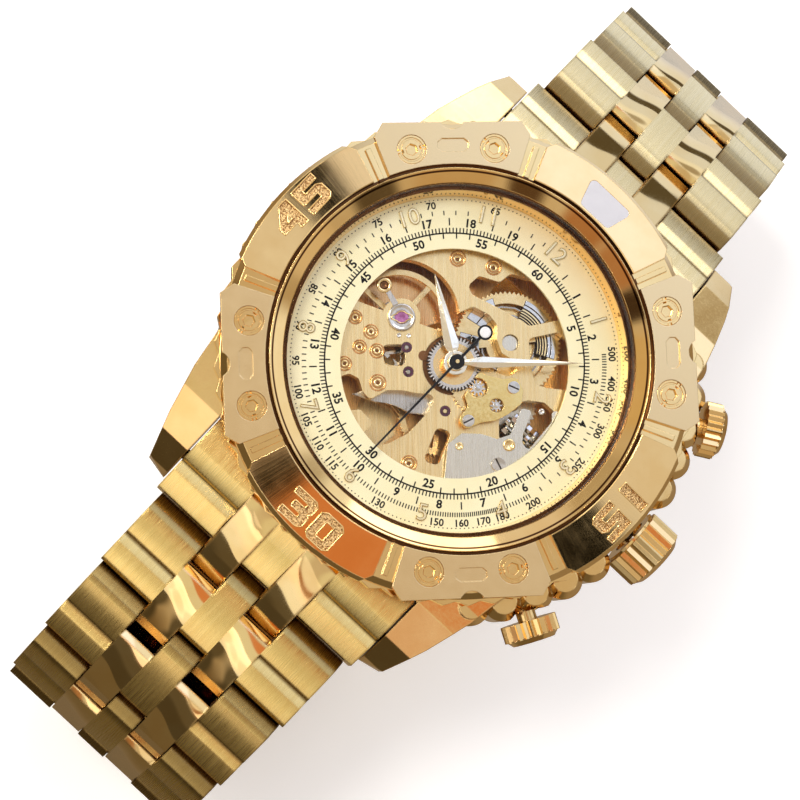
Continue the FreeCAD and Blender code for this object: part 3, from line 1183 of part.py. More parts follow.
def lobe_sections():
    """Side views (along the link, outward) of the outer, middle and tongue lobes and their web."""
    pitch = S.link_pitch
    round_end = half - S.end_gap
    far = pitch - half
    near = half + 0.02
    outer = [(-round_end, -0.6), (-round_end, 0.5), (-0.5, half - 0.15), (0.2, half), (pitch * 0.38, half),
             (pitch * 0.40, half - S.rib_depth), (pitch * 0.53, half), (far - 0.35, half), (far, half - 0.3),
             (far, -half + 0.2), (far - 0.3, -half), (0.1, -half)]
    middle = [(-round_end, -0.6), (-round_end, 0.5), (-0.6, half - 0.2), (0.4, half), (far - 0.35, half),
              (far, half - 0.3), (far, -half + 0.2), (far - 0.3, -half), (0.1, -half)]
    tongue = [(near, -half + 0.2), (near, half - 0.5), (near + 0.6, half), (pitch - 0.4, half),
              (pitch + 0.5, half - 0.45), (pitch + round_end, 0.4), (pitch + round_end, -0.6),
              (pitch + 0.1, -half), (near + 0.3, -half)]
    web = [(near, -half + 0.2), (near, half - 0.5), (near + 0.6, half), (far - 0.35, half),
           (far, half - 0.3), (far, -half + 0.2), (far - 0.3, -half), (near + 0.3, -half)]
    return outer, middle, tongue, web


def link_solid(name, width, sections, x_tongue):
    """Five lobes side by side with the pin at the near end; the next link's pin fits the tongues."""
    outer, middle, tongue, web = sections
    inner_edge = x_tongue + S.tongue_width
    wide = width / 2
    pieces = []
    for side in (1, -1):
        edge = inner_edge + S.lobe_gap
        piece = raised(name + "_outer", outer, wide - edge, Vector(side, 0, 0))
        pieces.append(place(piece, side * edge))
        piece = raised(name + "_tongue", tongue, S.tongue_width, Vector(side, 0, 0))
        pieces.append(place(piece, side * x_tongue))
        piece = raised(name + "_web", web, S.tongue_width + 2 * S.lobe_gap, Vector(side, 0, 0))
        pieces.append(place(piece, side * (x_tongue - S.lobe_gap)))
    piece = raised(name + "_middle", middle, 2 * (x_tongue - S.lobe_gap), Vector(1, 0, 0))
    pieces.append(place(piece, -(x_tongue - S.lobe_gap)))
    return pieces


def loop_pins(slopes, side):
    """Pin centres from the end link round towards the clasp, in the YZ plane."""
    pins = [(side * S.first_pin_y.number, S.first_pin_z.number)]
    for slope in slopes:
        y, z = pins[-1]
        step = math.radians(slope)
        pins.append((y + side * S.link_pitch.number * math.cos(step),
                     z - S.link_pitch.number * math.sin(step)))
    return pins


def loop_placement(pin, slope, side):
    """Where a link drawn along +Y with its near pin at the origin lies in the loop."""
    turn = Rotation(Vector(1, 0, 0), -slope)
    if side < 0:
        turn = Rotation(Vector(0, 0, 1), 180).multiply(turn)
    return Placement(Vector(0, pin[0], pin[1]), turn)


def make_links():
    sections = [outline(label, view, SIDEWAYS) for label, view in
                zip(("outer_side", "middle_side", "tongue_side", "web_side"), lobe_sections())]
    x_tongue = S.centre_width / 2 + S.lobe_gap
    for side, slopes, label in ((-1, SLOPES_SIX, "link_6"), (1, SLOPES_TWELVE, "link_12")):
        pins = loop_pins(slopes, side)
        for k, slope in enumerate(slopes):
            name = "%s_%d" % (label, k + 1)
            width = S.link_width - S.link_taper * k
            pieces = link_solid(name, width, sections, x_tongue)
            bore = rod(name + "_bore", S.pin_radius + S.fit_gap, 2 * (x_tongue + S.tongue_width) + 0.1,
                       -(x_tongue + S.tongue_width) - 0.05, S.link_pitch, 0, "X")
            body = cut(name + "_body", fuse(name + "_lobes", pieces), [bore])
            pin = rod(name + "_pin", S.pin_radius, width - 1.0, -(width / 2 - 0.5), 0, 0, "X")
            link = fuse(name, [body, pin])
            link.Placement = loop_placement(pins[k], slope, side)
            keep(name, link)


def make_end_links():
    """Fixed links between the lugs, with the spring bars that hold them."""
    x_tongue = S.centre_width / 2 + S.lobe_gap
    pin_y, pin_z = S.first_pin_y, S.first_pin_z
    face = pin_y - half
    wide = S.lug_gap - S.free_gap
    top = pin_z + half
    sides = {
        "outer": [(17.0, 4.0), (17.0, 8.6), (23.5, 7.4), (25.2, 6.5), (25.5, 6.0), (26.6, 5.7), (face - 0.4, top + 0.15),
                  (face, top - 0.15), (face, pin_z - half + 0.2), (face - 0.5, pin_z - half), (24.5, 1.0),
                  (22, 2.2)],
        "middle": [(17.0, 4.0), (17.0, 8.6), (23.5, 7.4), (face - 0.4, top + 0.15), (face, top - 0.15),
                   (face, pin_z - half + 0.2), (face - 0.5, pin_z - half), (24.5, 1.0), (22, 2.2)],
        "tongue": [(17.0, 4.0), (17.0, 8.6), (23.5, 7.4), (pin_y - 0.6, top + 0.1), (pin_y + 0.5, top - 0.5),
                   (pin_y + half - S.end_gap, pin_z + 0.4), (pin_y + half - S.end_gap, pin_z - 0.6),
                   (pin_y + 0.1, pin_z - half), (24.5, 1.0), (22, 2.2)],
    }
    for node, side in (("end_link_6", -1), ("end_link_12", 1)):
        views = {key: outline(node + "_" + key, [(side * as_size(y), z) for y, z in view], SIDEWAYS)
                 for key, view in sides.items()}
        inner_edge = x_tongue + S.tongue_width
        pieces = []
        for hand in (1, -1):
            edge = inner_edge + S.lobe_gap
            pieces.append(place(raised(node + "_o", views["outer"], wide - edge, Vector(hand, 0, 0)),
                                hand * edge))
            pieces.append(place(raised(node + "_t", views["tongue"], S.tongue_width, Vector(hand, 0, 0)),
                                hand * x_tongue))
            pieces.append(place(raised(node + "_g", views["middle"], S.lobe_gap, Vector(hand, 0, 0)),
                                hand * inner_edge))
        pieces.append(place(raised(node + "_m", views["middle"], 2 * x_tongue, Vector(1, 0, 0)), -x_tongue))
        body = fuse(node + "_body", pieces)
        tools = [rod(node + "_room", S.flank_radius + S.free_gap, 20, z=-2),
                 rod(node + "_bore", S.pin_radius + S.fit_gap, 2 * inner_edge + 0.1, -inner_edge - 0.05,
                     side * pin_y, pin_z, "X")]
        solid = cut(node + "_cut", body, tools)
        bar = rod(node + "_bar", bar_radius, 2 * S.lug_gap + 2.4, -(S.lug_gap + 1.2), side * bar_y, bar_z, "X")
        keep(node, fuse(node, [solid, bar]))


def make_clasp():
    """Folding clasp: inner blade on the last 12 o'clock link, middle blade, outer cover."""
    start = loop_pins(SLOPES_TWELVE, 1)[-1]
    end = loop_pins(SLOPES_SIX, -1)[-1]
    span = math.dist(start, end)
    slope = math.degrees(math.atan2(end[1] - start[1], end[0] - start[0]))
    where = Placement(Vector(0, start[0], start[1]), Rotation(Vector(1, 0, 0), slope))
    x_tongue = S.centre_width / 2 + S.lobe_gap
    inner_edge = x_tongue + S.tongue_width
    wide = (S.link_width - S.link_taper * len(SLOPES_TWELVE)) / 2
    blade = S.blade_thickness
    low = -half
    knuckle = blade
    cover_hinge, blade_hinge = 5.2, span - 6.5
    cover_level, blade_level = as_size(0.3), low + knuckle
    blade_half = S.blade_width / 2
    near = half - S.end_gap

    # inner blade: pinned in the link's tongues, then a flat strip to the far hinge
    lobe = outline("blade_lobe", [(-near, -0.6), (-near, 0.5), (-0.6, half - 0.2), (0.4, half), (2.2, half),
                                  (2.4, half - 0.2), (2.4, low), (0.1, low)], SIDEWAYS)
    bar = outline("blade_bar", [(half + 0.05, low), (half + 0.05, half - 0.2), (2.2, half - 0.2), (2.4, low)],
                  SIDEWAYS)
    pieces = []
    for side in (1, -1):
        edge = inner_edge + S.lobe_gap
        pieces.append(place(raised("blade_side", lobe, wide - edge, Vector(side, 0, 0)), side * edge))
        pieces.append(place(raised("blade_join", bar, S.tongue_width + 2 * S.lobe_gap, Vector(side, 0, 0)),
                            side * (x_tongue - S.lobe_gap)))
    pieces.append(place(raised("blade_mid", lobe, 2 * (x_tongue - S.lobe_gap), Vector(1, 0, 0)),
                        -(x_tongue - S.lobe_gap)))
    pieces.append(rod("blade_pin", S.pin_radius, 2 * wide - 1.0, -(wide - 0.5), 0, 0, "X"))
    pieces.append(block("inner_strip", S.blade_width, blade_hinge - 2.3, blade, -blade_half, 2.3, low))
    ear = 4.0
    for side in (1, -1):
        x = blade_half - ear if side > 0 else -blade_half
        pieces.append(rod("inner_knuckle", knuckle, ear, x, blade_hinge, blade_level, "X"))
    body = fuse("inner_body", pieces)
    relief = block("inner_relief", S.blade_width - 2 * ear, 4, 4, -(blade_half - ear), blade_hinge - 1.4,
                   low - 1)
    body = cut("inner_cut", body, [relief])
    pin = rod("inner_pin", S.clasp_pin, S.blade_width - 1, -(blade_half - 0.5), blade_hinge, blade_level, "X")
    inner = fuse("clasp_inner_blade", [body, pin])

    # middle blade: between the two hinges, lying on the inner blade
    level = low + blade + 0.35
    strip = block("middle_strip", S.blade_width, blade_hinge - cover_hinge - 2.2, blade, -blade_half,
                  cover_hinge + 1.1, level)
    tab = block("middle_tab", S.blade_width - 2 * ear - 0.3, 1.6, blade, -(blade_half - ear - 0.15),
                blade_hinge - 1.5, level)
    eye = rod("middle_eye", knuckle, S.blade_width - 2 * ear - 0.3, -(blade_half - ear - 0.15), blade_hinge,
              blade_level, "X")
    eye_bore = rod("middle_bore", S.clasp_pin + S.fit_gap, S.blade_width, -blade_half, blade_hinge,
                   blade_level, "X")
    web = block("middle_web", S.blade_width - 2 * ear - 0.3, 1.3, blade, -(blade_half - ear - 0.15),
                cover_hinge, level + 0.1)
    collar = rod("middle_collar", knuckle, S.blade_width - 2 * ear - 0.3, -(blade_half - ear - 0.15),
                 cover_hinge, cover_level, "X")
    body = cut("middle_cut", fuse("middle_body", [strip, tab, eye, web, collar]), [eye_bore])
    pin = rod("middle_pin", S.clasp_pin, S.blade_width - 1, -(blade_half - 0.5), cover_hinge, cover_level, "X")
    middle = fuse("clasp_middle_blade", [body, pin])

    # cover: outermost sheet with side walls, hinged beside the last link
    cover_half = S.clasp_width / 2
    cover_low = half - S.clasp_sheet
    cover_end = span - 2.8
    sheet_plate = block("cover_sheet", S.clasp_width, cover_end - cover_hinge + 0.3, S.clasp_sheet, -cover_half,
                        cover_hinge - 0.3, cover_low)
    walls = []
    for side in (1, -1):
        x = cover_half - 0.9 if side > 0 else -cover_half
        walls.append(block("cover_wall", 0.9, cover_end - cover_hinge - 1.6, 2.6, x, cover_hinge + 0.9,
                           cover_low - 2.3))
        x = blade_half - ear + 0.05 if side > 0 else -blade_half
        walls.append(rod("cover_knuckle", knuckle, ear - 0.05, x, cover_hinge, cover_level, "X"))
    body = fuse("cover_body", [sheet_plate] + walls)
    hole = rod("cover_bore", S.clasp_pin + S.fit_gap, S.clasp_width, -cover_half, cover_hinge, cover_level, "X")
    relief = rod("cover_relief", knuckle + S.fit_gap + 0.1, S.blade_width - 2 * ear, -(blade_half - ear),
                 cover_hinge, cover_level, "X")
    cover = cut("clasp_cover", body, [hole, relief])
    for node, piece in (("clasp_inner_blade", inner), ("clasp_middle_blade", middle), ("clasp_cover", cover)):
        piece.Placement = where
        keep(node, piece)


# ---------------------------------------------------------------- build, check and write
make_case()
make_bezel()
make_train()
make_escapement()
make_motion_work()
make_hands()
make_plates()
make_fittings()
make_keyless()
make_rotor()
make_links()
make_end_links()
make_clasp()
doc.recompute()

for thing in doc.Objects:
    if "Invalid" in thing.State or "Error" in thing.State:
        raise RuntimeError("failed object: " + thing.Name)
os.makedirs("parts", exist_ok=True)
for piece in PARTS:
    if piece.Shape.isNull() or not piece.Shape.isValid() or not piece.Shape.Solids:
        raise RuntimeError("bad shape: " + piece.Label)
    piece.Shape.exportStep(os.path.join("parts", piece.Label + ".step"))
    print("%-20s %2d solids %9.2f mm3" % (piece.Label, len(piece.Shape.Solids), piece.Shape.Volume))
print(len(PARTS), "sub-parts")
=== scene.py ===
"""Looks of the skeleton wristwatch: camera, studio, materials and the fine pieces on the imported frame."""

import json
import math

import bmesh
import bpy
from mathutils import Matrix, Vector


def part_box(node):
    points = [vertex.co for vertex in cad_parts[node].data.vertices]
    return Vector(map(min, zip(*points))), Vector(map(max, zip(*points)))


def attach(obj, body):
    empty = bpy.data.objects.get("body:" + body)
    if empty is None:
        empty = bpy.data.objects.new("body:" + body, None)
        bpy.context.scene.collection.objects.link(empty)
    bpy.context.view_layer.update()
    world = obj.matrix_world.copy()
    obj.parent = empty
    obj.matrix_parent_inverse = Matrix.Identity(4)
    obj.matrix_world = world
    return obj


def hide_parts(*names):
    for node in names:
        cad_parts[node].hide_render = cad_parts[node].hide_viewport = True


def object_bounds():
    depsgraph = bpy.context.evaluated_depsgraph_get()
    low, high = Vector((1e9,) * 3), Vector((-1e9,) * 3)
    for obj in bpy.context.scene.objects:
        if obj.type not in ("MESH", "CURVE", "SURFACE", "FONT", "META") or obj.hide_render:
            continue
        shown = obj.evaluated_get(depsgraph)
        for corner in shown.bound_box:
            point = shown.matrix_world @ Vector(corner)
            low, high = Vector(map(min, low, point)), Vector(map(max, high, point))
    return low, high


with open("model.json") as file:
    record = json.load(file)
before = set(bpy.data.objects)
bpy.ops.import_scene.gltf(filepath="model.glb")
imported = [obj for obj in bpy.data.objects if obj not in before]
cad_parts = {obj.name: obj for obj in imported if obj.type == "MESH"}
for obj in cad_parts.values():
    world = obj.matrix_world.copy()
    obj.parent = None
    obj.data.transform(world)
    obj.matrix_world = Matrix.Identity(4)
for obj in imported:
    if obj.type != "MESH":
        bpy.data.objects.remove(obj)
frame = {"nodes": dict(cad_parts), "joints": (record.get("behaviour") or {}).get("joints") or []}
CAD_BOX = [list(corner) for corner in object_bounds()]
NODES = frame["nodes"]
SOCKET = bpy.types.NodeSocket
MM = 0.001
LOWEST = CAD_BOX[0][2]
# Heights and places in mm that several pieces share.
PLATE_TOP = 8.4
GROOVE = 19.4
SCREW_CIRCLE = 21.3
BALANCE = (-7.05, -0.1)
BARREL = (2.75, 5.7)
# Brush lines of the movement run up the picture: degrees from Y, and how a brushed noise is drawn out.
BRUSH_TURN = 43.5
BRUSHED = (1, 90, 1)
EVEN = (1, 1, 1)


def span(node):
    """Bottom and top of a CAD node, in mm."""
    return [corner[2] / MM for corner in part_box(node)]


def link(thing):
    bpy.context.scene.collection.objects.link(thing)
    return thing


# ---------------------------------------------------------------- camera and lights
def make_camera():
    data = bpy.data.cameras.new("camera")
    data.lens = 112.5
    data.sensor_width = 36
    data.clip_start = 0.01
    data.clip_end = 10
    camera = link(bpy.data.objects.new("camera", data))
    right = Vector((0.72848353, 0.67189674, 0.13366568))
    up = Vector((-0.68445997, 0.72204022, 0.1008587))
    back = Vector((-0.02874537, -0.16496271, 0.98588083))
    turn = Matrix((right, up, back)).transposed().to_4x4()
    camera.matrix_world = Matrix.Translation(Vector((-8.695, -47.700, 255.615)) * MM) @ turn
    bpy.context.scene.camera = camera


def area_light(name, place, aim, size, power, colour):
    data = bpy.data.lights.new(name, "AREA")
    data.shape = "RECTANGLE"
    data.size, data.size_y = size
    data.energy = power
    data.color = colour
    light = link(bpy.data.objects.new(name, data))
    light.location = place
    light.rotation_euler = (Vector(aim) - Vector(place)).to_track_quat("-Z", "Y").to_euler()
    light.visible_camera = False


def sun_light(name, lean, power, angle, colour):
    data = bpy.data.lights.new(name, "SUN")
    data.energy = power
    data.angle = math.radians(angle)
    data.color = colour
    light = link(bpy.data.objects.new(name, data))
    light.rotation_euler = toward(*lean).to_track_quat("Z", "Y").to_euler()


# ---------------------------------------------------------------- nodes
def add(tree, kind, **values):
    """A node, with its properties and its inputs set by name; an input may be another node's output."""
    node = tree.nodes.new("ShaderNode" + kind)
    for key, value in values.items():
        if hasattr(node, key) and key != "inputs":
            setattr(node, key, value)
            continue
        socket = node.inputs[int(key[1:]) if key[0] == "i" and key[1:].isdigit() else key.replace("_", " ")]
        if isinstance(value, SOCKET):
            tree.links.new(value, socket)
        else:
            socket.default_value = value
    return node


def maths(operation, *terms):
    """A maths node beside its terms, at least one of which is a node's output."""
    tree = next(term for term in terms if isinstance(term, SOCKET)).id_data
    inputs = {"i%d" % k: term for k, term in enumerate(terms)}
    return add(tree, "Math", operation=operation, **inputs).outputs[0]


def times(*terms):
    return maths("MULTIPLY", *terms)


def plus(*terms):
    return maths("ADD", *terms)


def minus(*terms):
    return maths("SUBTRACT", *terms)


def band(value, low=0.3, high=0.7, start=0.0, end=1.0):
    """A smooth step of the value from start, at low, to end, at high."""
    return add(value.id_data, "MapRange", interpolation_type="SMOOTHSTEP", Value=value, From_Min=low,
               From_Max=high, To_Min=start, To_Max=end).outputs[0]


def mixed(factor, first, second):
    """A mix of two colours or numbers by a node's output."""
    colours = not isinstance(first, (int, float)) or not isinstance(second, (int, float))
    node = add(factor.id_data, "Mix", data_type="RGBA" if colours else "FLOAT", clamp_factor=True, i0=factor)
    for place, value in zip((6, 7) if colours else (2, 3), (first, second)):
        if isinstance(value, SOCKET):
            factor.id_data.links.new(value, node.inputs[place])
        else:
            node.inputs[place].default_value = (*value, 1) if colours else value
    return node.outputs[2] if colours else node.outputs[0]


def toward(along_x, along_y):
    """A direction away from the zenith: degrees of lean towards +X and towards +Y."""
    lean = math.hypot(along_x, along_y)
    if lean < 0.01:
        return Vector((0, 0, 1))
    reach = math.sin(math.radians(lean)) / lean
    return Vector((along_x * reach, along_y * reach, math.cos(math.radians(lean))))


# What the metal mirrors: direction, full within and gone beyond (degrees), colour.
SKY = [
    (toward(0, 0), 30, 70, (0.60, 0.53, 0.46)),
    (toward(0, 85), 15, 24, (0.74, 0.82, 1.06)),
    (toward(0, 52), 18, 24, (0.90, 0.96, 1.12)),
    (toward(35, 54), 13, 20, (0.92, 0.96, 1.10)),
    (toward(-40, 44), 13, 22, (0.76, 0.72, 0.74)),
    (toward(1, 24), 11.5, 14, (0.92, 1.06, 1.42)),
    (toward(2, 29), 6, 11, (1.12, 1.26, 1.85)),
    (toward(19.7, 15), 4, 7, (0.74, 0.73, 0.80)),
    (toward(19.7, 6.6), 2.6, 4.2, (0.010, 0.009, 0.007)),
    (toward(-15.5, 7), 4, 7, (0.74, 0.73, 0.80)),
    (toward(-15, 18), 2, 4, (0.84, 0.84, 1.0)),
    (toward(-15.7, 13.3), 1.6, 2.6, (0.010, 0.009, 0.007)),
    (toward(2, -21), 8, 12, (0.74, 0.72, 0.62)),
    (toward(4.5, -7), 5, 7, (0.64, 0.25, 0.11)),
    (toward(-5.5, -6), 2, 4, (0.55, 0.45, 0.42)),
    (toward(-2.5, -6.5), 0.8, 2.4, (0.02, 0.015, 0.01)),
    (toward(-13, -40), 5, 8, (0.42, 0.22, 0.12)),
    (toward(2, -42), 5, 8, (0.40, 0.20, 0.10)),
    (toward(-25, -36), 3, 6, (0.05, 0.03, 0.018)),
    (toward(-42, -20), 10, 15, (0.62, 0.48, 0.30)),
    (toward(-51, 12), 6, 11, (0.46, 0.39, 0.31)),
    (toward(54, 20), 5, 9, (0.66, 0.56, 0.46)),
    (toward(53, -5), 4, 8, (0.10, 0.075, 0.05)),
    (toward(40, -26), 8, 13, (0.52, 0.39, 0.26)),
    (toward(22, -38), 3, 7, (0.10, 0.06, 0.035)),
    (toward(2, -61), 11, 18, (0.11, 0.09, 0.062)),
    (toward(0, -84), 12, 20, (0.07, 0.055, 0.034)),
    (toward(11, 60), 3, 7, (0.40, 0.37, 0.34)),
    (toward(76, 12), 8, 14, (1.25, 1.28, 1.40)),
    (toward(-76, 22), 8, 14, (1.30, 1.40, 1.60)),
]


def make_world():
    world = bpy.data.worlds.new("studio")
    world.use_nodes = True
    bpy.context.scene.world = world
    tree = world.node_tree
    tree.nodes.clear()
    ray = add(tree, "TexCoord").outputs["Generated"]
    height = add(tree, "SeparateXYZ", i0=ray).outputs[2]
    colour = mixed(band(height, 0.0, 0.75), (0.16, 0.11, 0.06), (0.55, 0.46, 0.36))
    for way, near, far, tone in SKY:
        facing = add(tree, "VectorMath", operation="DOT_PRODUCT", i0=ray, i1=way).outputs["Value"]
        mask = band(facing, math.cos(math.radians(far)), math.cos(math.radians(near)))
        colour = mixed(mask, colour, tone)
    colour = mixed(add(tree, "LightPath").outputs["Is Camera Ray"], colour, (0.93, 0.925, 0.91))
    ground = add(tree, "Background", Color=colour, Strength=1.0)
    tree.links.new(ground.outputs[0], add(tree, "OutputWorld").inputs[0])


def make_floor():
    """A plain pale floor that glows a little; to glossy rays it glows instead in painted patches, a pale one
    towards +Y, dark further on and towards -Y, brownish elsewhere, so what the metal mirrors of it is
    painted reflection that varies from place to place.
    """
    half, level = 1.5, LOWEST - 0.0002
    mesh = bpy.data.meshes.new("floor")
    mesh.from_pydata([(x * half, y * half, level) for x, y in ((-1, -1), (1, -1), (1, 1), (-1, 1))], [],
                     [(0, 1, 2, 3)])
    floor = link(bpy.data.objects.new("floor", mesh))
    look = Look("floor", metallic=0.0)
    tree = look.tree
    grain = add(tree, "TexNoise", Vector=look.place, Scale=90.0, Detail=3.0).outputs["Fac"]
    look.put("Base Color", mixed(grain, (0.90, 0.895, 0.885), (0.93, 0.925, 0.915)))
    look.put("Roughness", 0.9)
    look.put("Specular IOR Level", 0.1)
    look.put("Emission Color", (1.0, 0.99, 0.975, 1))
    look.put("Emission Strength", 0.35)
    x, y = look.xyz()[:2]
    pale = times(band(y, 0.03, 0.09), band(x, 0.045, 0.02))
    tone = mixed(pale, (0.30, 0.235, 0.165), (0.82, 0.92, 1.2))
    tone = mixed(band(y, 0.165, 0.21), tone, (0.10, 0.085, 0.06))
    tone = mixed(band(y, -0.03, -0.08), tone, (0.15, 0.115, 0.07))
    painted_reflection = add(tree, "Emission", Color=tone, Strength=1.0)
    glossy = add(tree, "LightPath").outputs["Is Glossy Ray"]
    join = add(tree, "MixShader", i0=glossy, i1=look.shader.outputs[0], i2=painted_reflection.outputs[0])
    tree.links.new(join.outputs[0], tree.nodes["Material Output"].inputs["Surface"])
    mesh.materials.append(look.material)


# ---------------------------------------------------------------- materials
class Look:
    """A principled material whose noise lives in the frame's own coordinates."""

    def __init__(self, name, metallic=1.0, bevel=0):
        self.material = bpy.data.materials.new(name)
        self.material.use_nodes = True
        self.tree = self.material.node_tree
        self.shader = self.tree.nodes["Principled BSDF"]
        self.put("Metallic", metallic)
        self.place = add(self.tree, "TexCoord").outputs["Object"]
        self.normal = add(self.tree, "Bevel", samples=4, Radius=bevel * MM).outputs[0] if bevel else None

    def put(self, name, value):
        """Sets an input of the shader to a value or to a node's output."""
        if isinstance(value, SOCKET):
            self.tree.links.new(value, self.shader.inputs[name])
        else:
            self.shader.inputs[name].default_value = value

    def xyz(self):
        return add(self.tree, "SeparateXYZ", i0=self.place).outputs

    def reach(self):
        """Distance from the dial's middle."""
        x, y = self.xyz()[:2]
        return maths("SQRT", plus(times(x, x), times(y, y)))

    def noise(self, scale, stretch=EVEN, turn=0.0, detail=3.0):
        """Noise of a size given in mm; stretch lengthens it along x, y, z after a turn about z."""
        mapping = add(self.tree, "Mapping", vector_type="TEXTURE", Vector=self.place,
                      Rotation=(0, 0, math.radians(turn)), Scale=[scale * MM * s for s in stretch])
        return add(self.tree, "TexNoise", Vector=mapping.outputs[0], Scale=1.0, Detail=detail,
                   Roughness=0.55).outputs["Fac"]

    def radial(self, fine, long):
        """Noise that runs out from the dial's middle: fine across, long along the radius, in mm."""
        x, y = self.xyz()[:2]
        reach = maths("MAXIMUM", self.reach(), 0.0001)
        turn = 21 / fine
        vector = add(self.tree, "CombineXYZ", i0=times(maths("DIVIDE", x, reach), turn),
                     i1=times(maths("DIVIDE", y, reach), turn),
                     i2=maths("DIVIDE", reach, long * MM)).outputs[0]
        return add(self.tree, "TexNoise", Vector=vector, Scale=1.0, Detail=2.0).outputs["Fac"]

    def colour(self, dark, light, value, low=0.3, high=0.7):
        self.put("Base Color", mixed(band(value, low, high), dark, light))

    def rough(self, value, start, end):
        self.put("Roughness", band(value, start=start, end=end))

    def bump(self, value, depth):
        node = add(self.tree, "Bump", Height=value, Strength=1.0, Distance=depth * MM)
        if self.normal is not None:
            self.tree.links.new(self.normal, node.inputs["Normal"])
        self.normal = node.outputs[0]

    def crevices(self, gold, reach):
        """Painted shade: gold darkened in narrow corners, where the ambient occlusion finds little open sky.
        """
        open_sky = add(self.tree, "AmbientOcclusion", samples=4, Distance=reach * MM).outputs["AO"]
        return mixed(band(open_sky, 0.15, 0.65), (0.13, 0.05, 0.015), gold)

    def done(self):
        if self.normal is not None:
            self.put("Normal", self.normal)
        return self.material


GOLD = (0.98, 0.70, 0.31)
GOLD_DEEP = (0.90, 0.58, 0.21)


def polished_gold(name, light=GOLD, dark=GOLD_DEEP, rough=0.07, bevel=0.12, corner_shade_width=0):
    """Mirror gold with faint smudges; its last argument is the width, in mm, of the corners that it darkens
    with painted shade.
    """
    look = Look(name, bevel=bevel)
    smudge = look.noise(4.0)
    gold = mixed(band(smudge, start=0.5), dark, light)
    look.put("Base Color", look.crevices(gold, corner_shade_width) if corner_shade_width else gold)
    look.put("Roughness", plus(band(look.noise(0.25, detail=2.0), 0.35, 0.75, rough, rough + 0.05),
                               band(smudge, 0.45, 0.8, 0.0, 0.05)))
    look.bump(look.noise(1.6, detail=1.0), 0.004)
    return look.done()


def bezel_gold():
    """Mirror gold with fine turning lines and a painted dark ring on each side of the sloping lip, as
    painted shade and reflection in its grooves.
    """
    look = Look("bezel_gold", bevel=0.12)
    reach = look.reach()
    smudge = look.noise(4.0)
    gold = mixed(band(smudge, start=0.5), GOLD_DEEP, GOLD)
    # Painted shade and reflection: dark rings at the lip's two grooves.
    for middle, half in ((19.24, 0.15), (18.72, 0.07)):
        off = maths("ABSOLUTE", minus(reach, middle * MM))
        gold = mixed(band(off, half * MM, (half + 0.05) * MM, 1.0, 0.0), gold, (0.11, 0.045, 0.015))
    look.put("Base Color", gold)
    streak = look.radial(0.05, 6.0)
    look.put("Roughness", plus(band(streak, 0.35, 0.75, 0.05, 0.085), band(smudge, 0.45, 0.8, 0.0, 0.04)))
    look.bump(streak, 0.0005)
    return look.done()


def brushed_gold(name, stretch, turn=0.0, light=GOLD, dark=GOLD_DEEP, rough=0.24, depth=0.006, bevel=0.1,
                 scale=0.045, vary=0.07):
    look = Look(name, bevel=bevel)
    streak = look.noise(scale, stretch, turn, detail=2.0)
    broad = look.noise(scale * 7, stretch, turn, detail=2.0)
    look.colour(dark, light, plus(times(streak, 0.5), times(broad, 0.5)))
    look.rough(streak, rough - vary, rough + vary)
    look.bump(streak, depth)
    return look.done()


def radial_gold(name, rough=0.2):
    look = Look(name, bevel=0.12)
    streak = look.radial(0.05, 6.0)
    look.colour(GOLD_DEEP, GOLD, streak)
    look.rough(streak, rough - 0.06, rough + 0.06)
    look.bump(streak, 0.004)
    return look.done()


# Across a bracelet link, from its middle in mm: where the tongues begin, their middle and where they end.
TONGUE = (1.86, 3.82, 5.78)


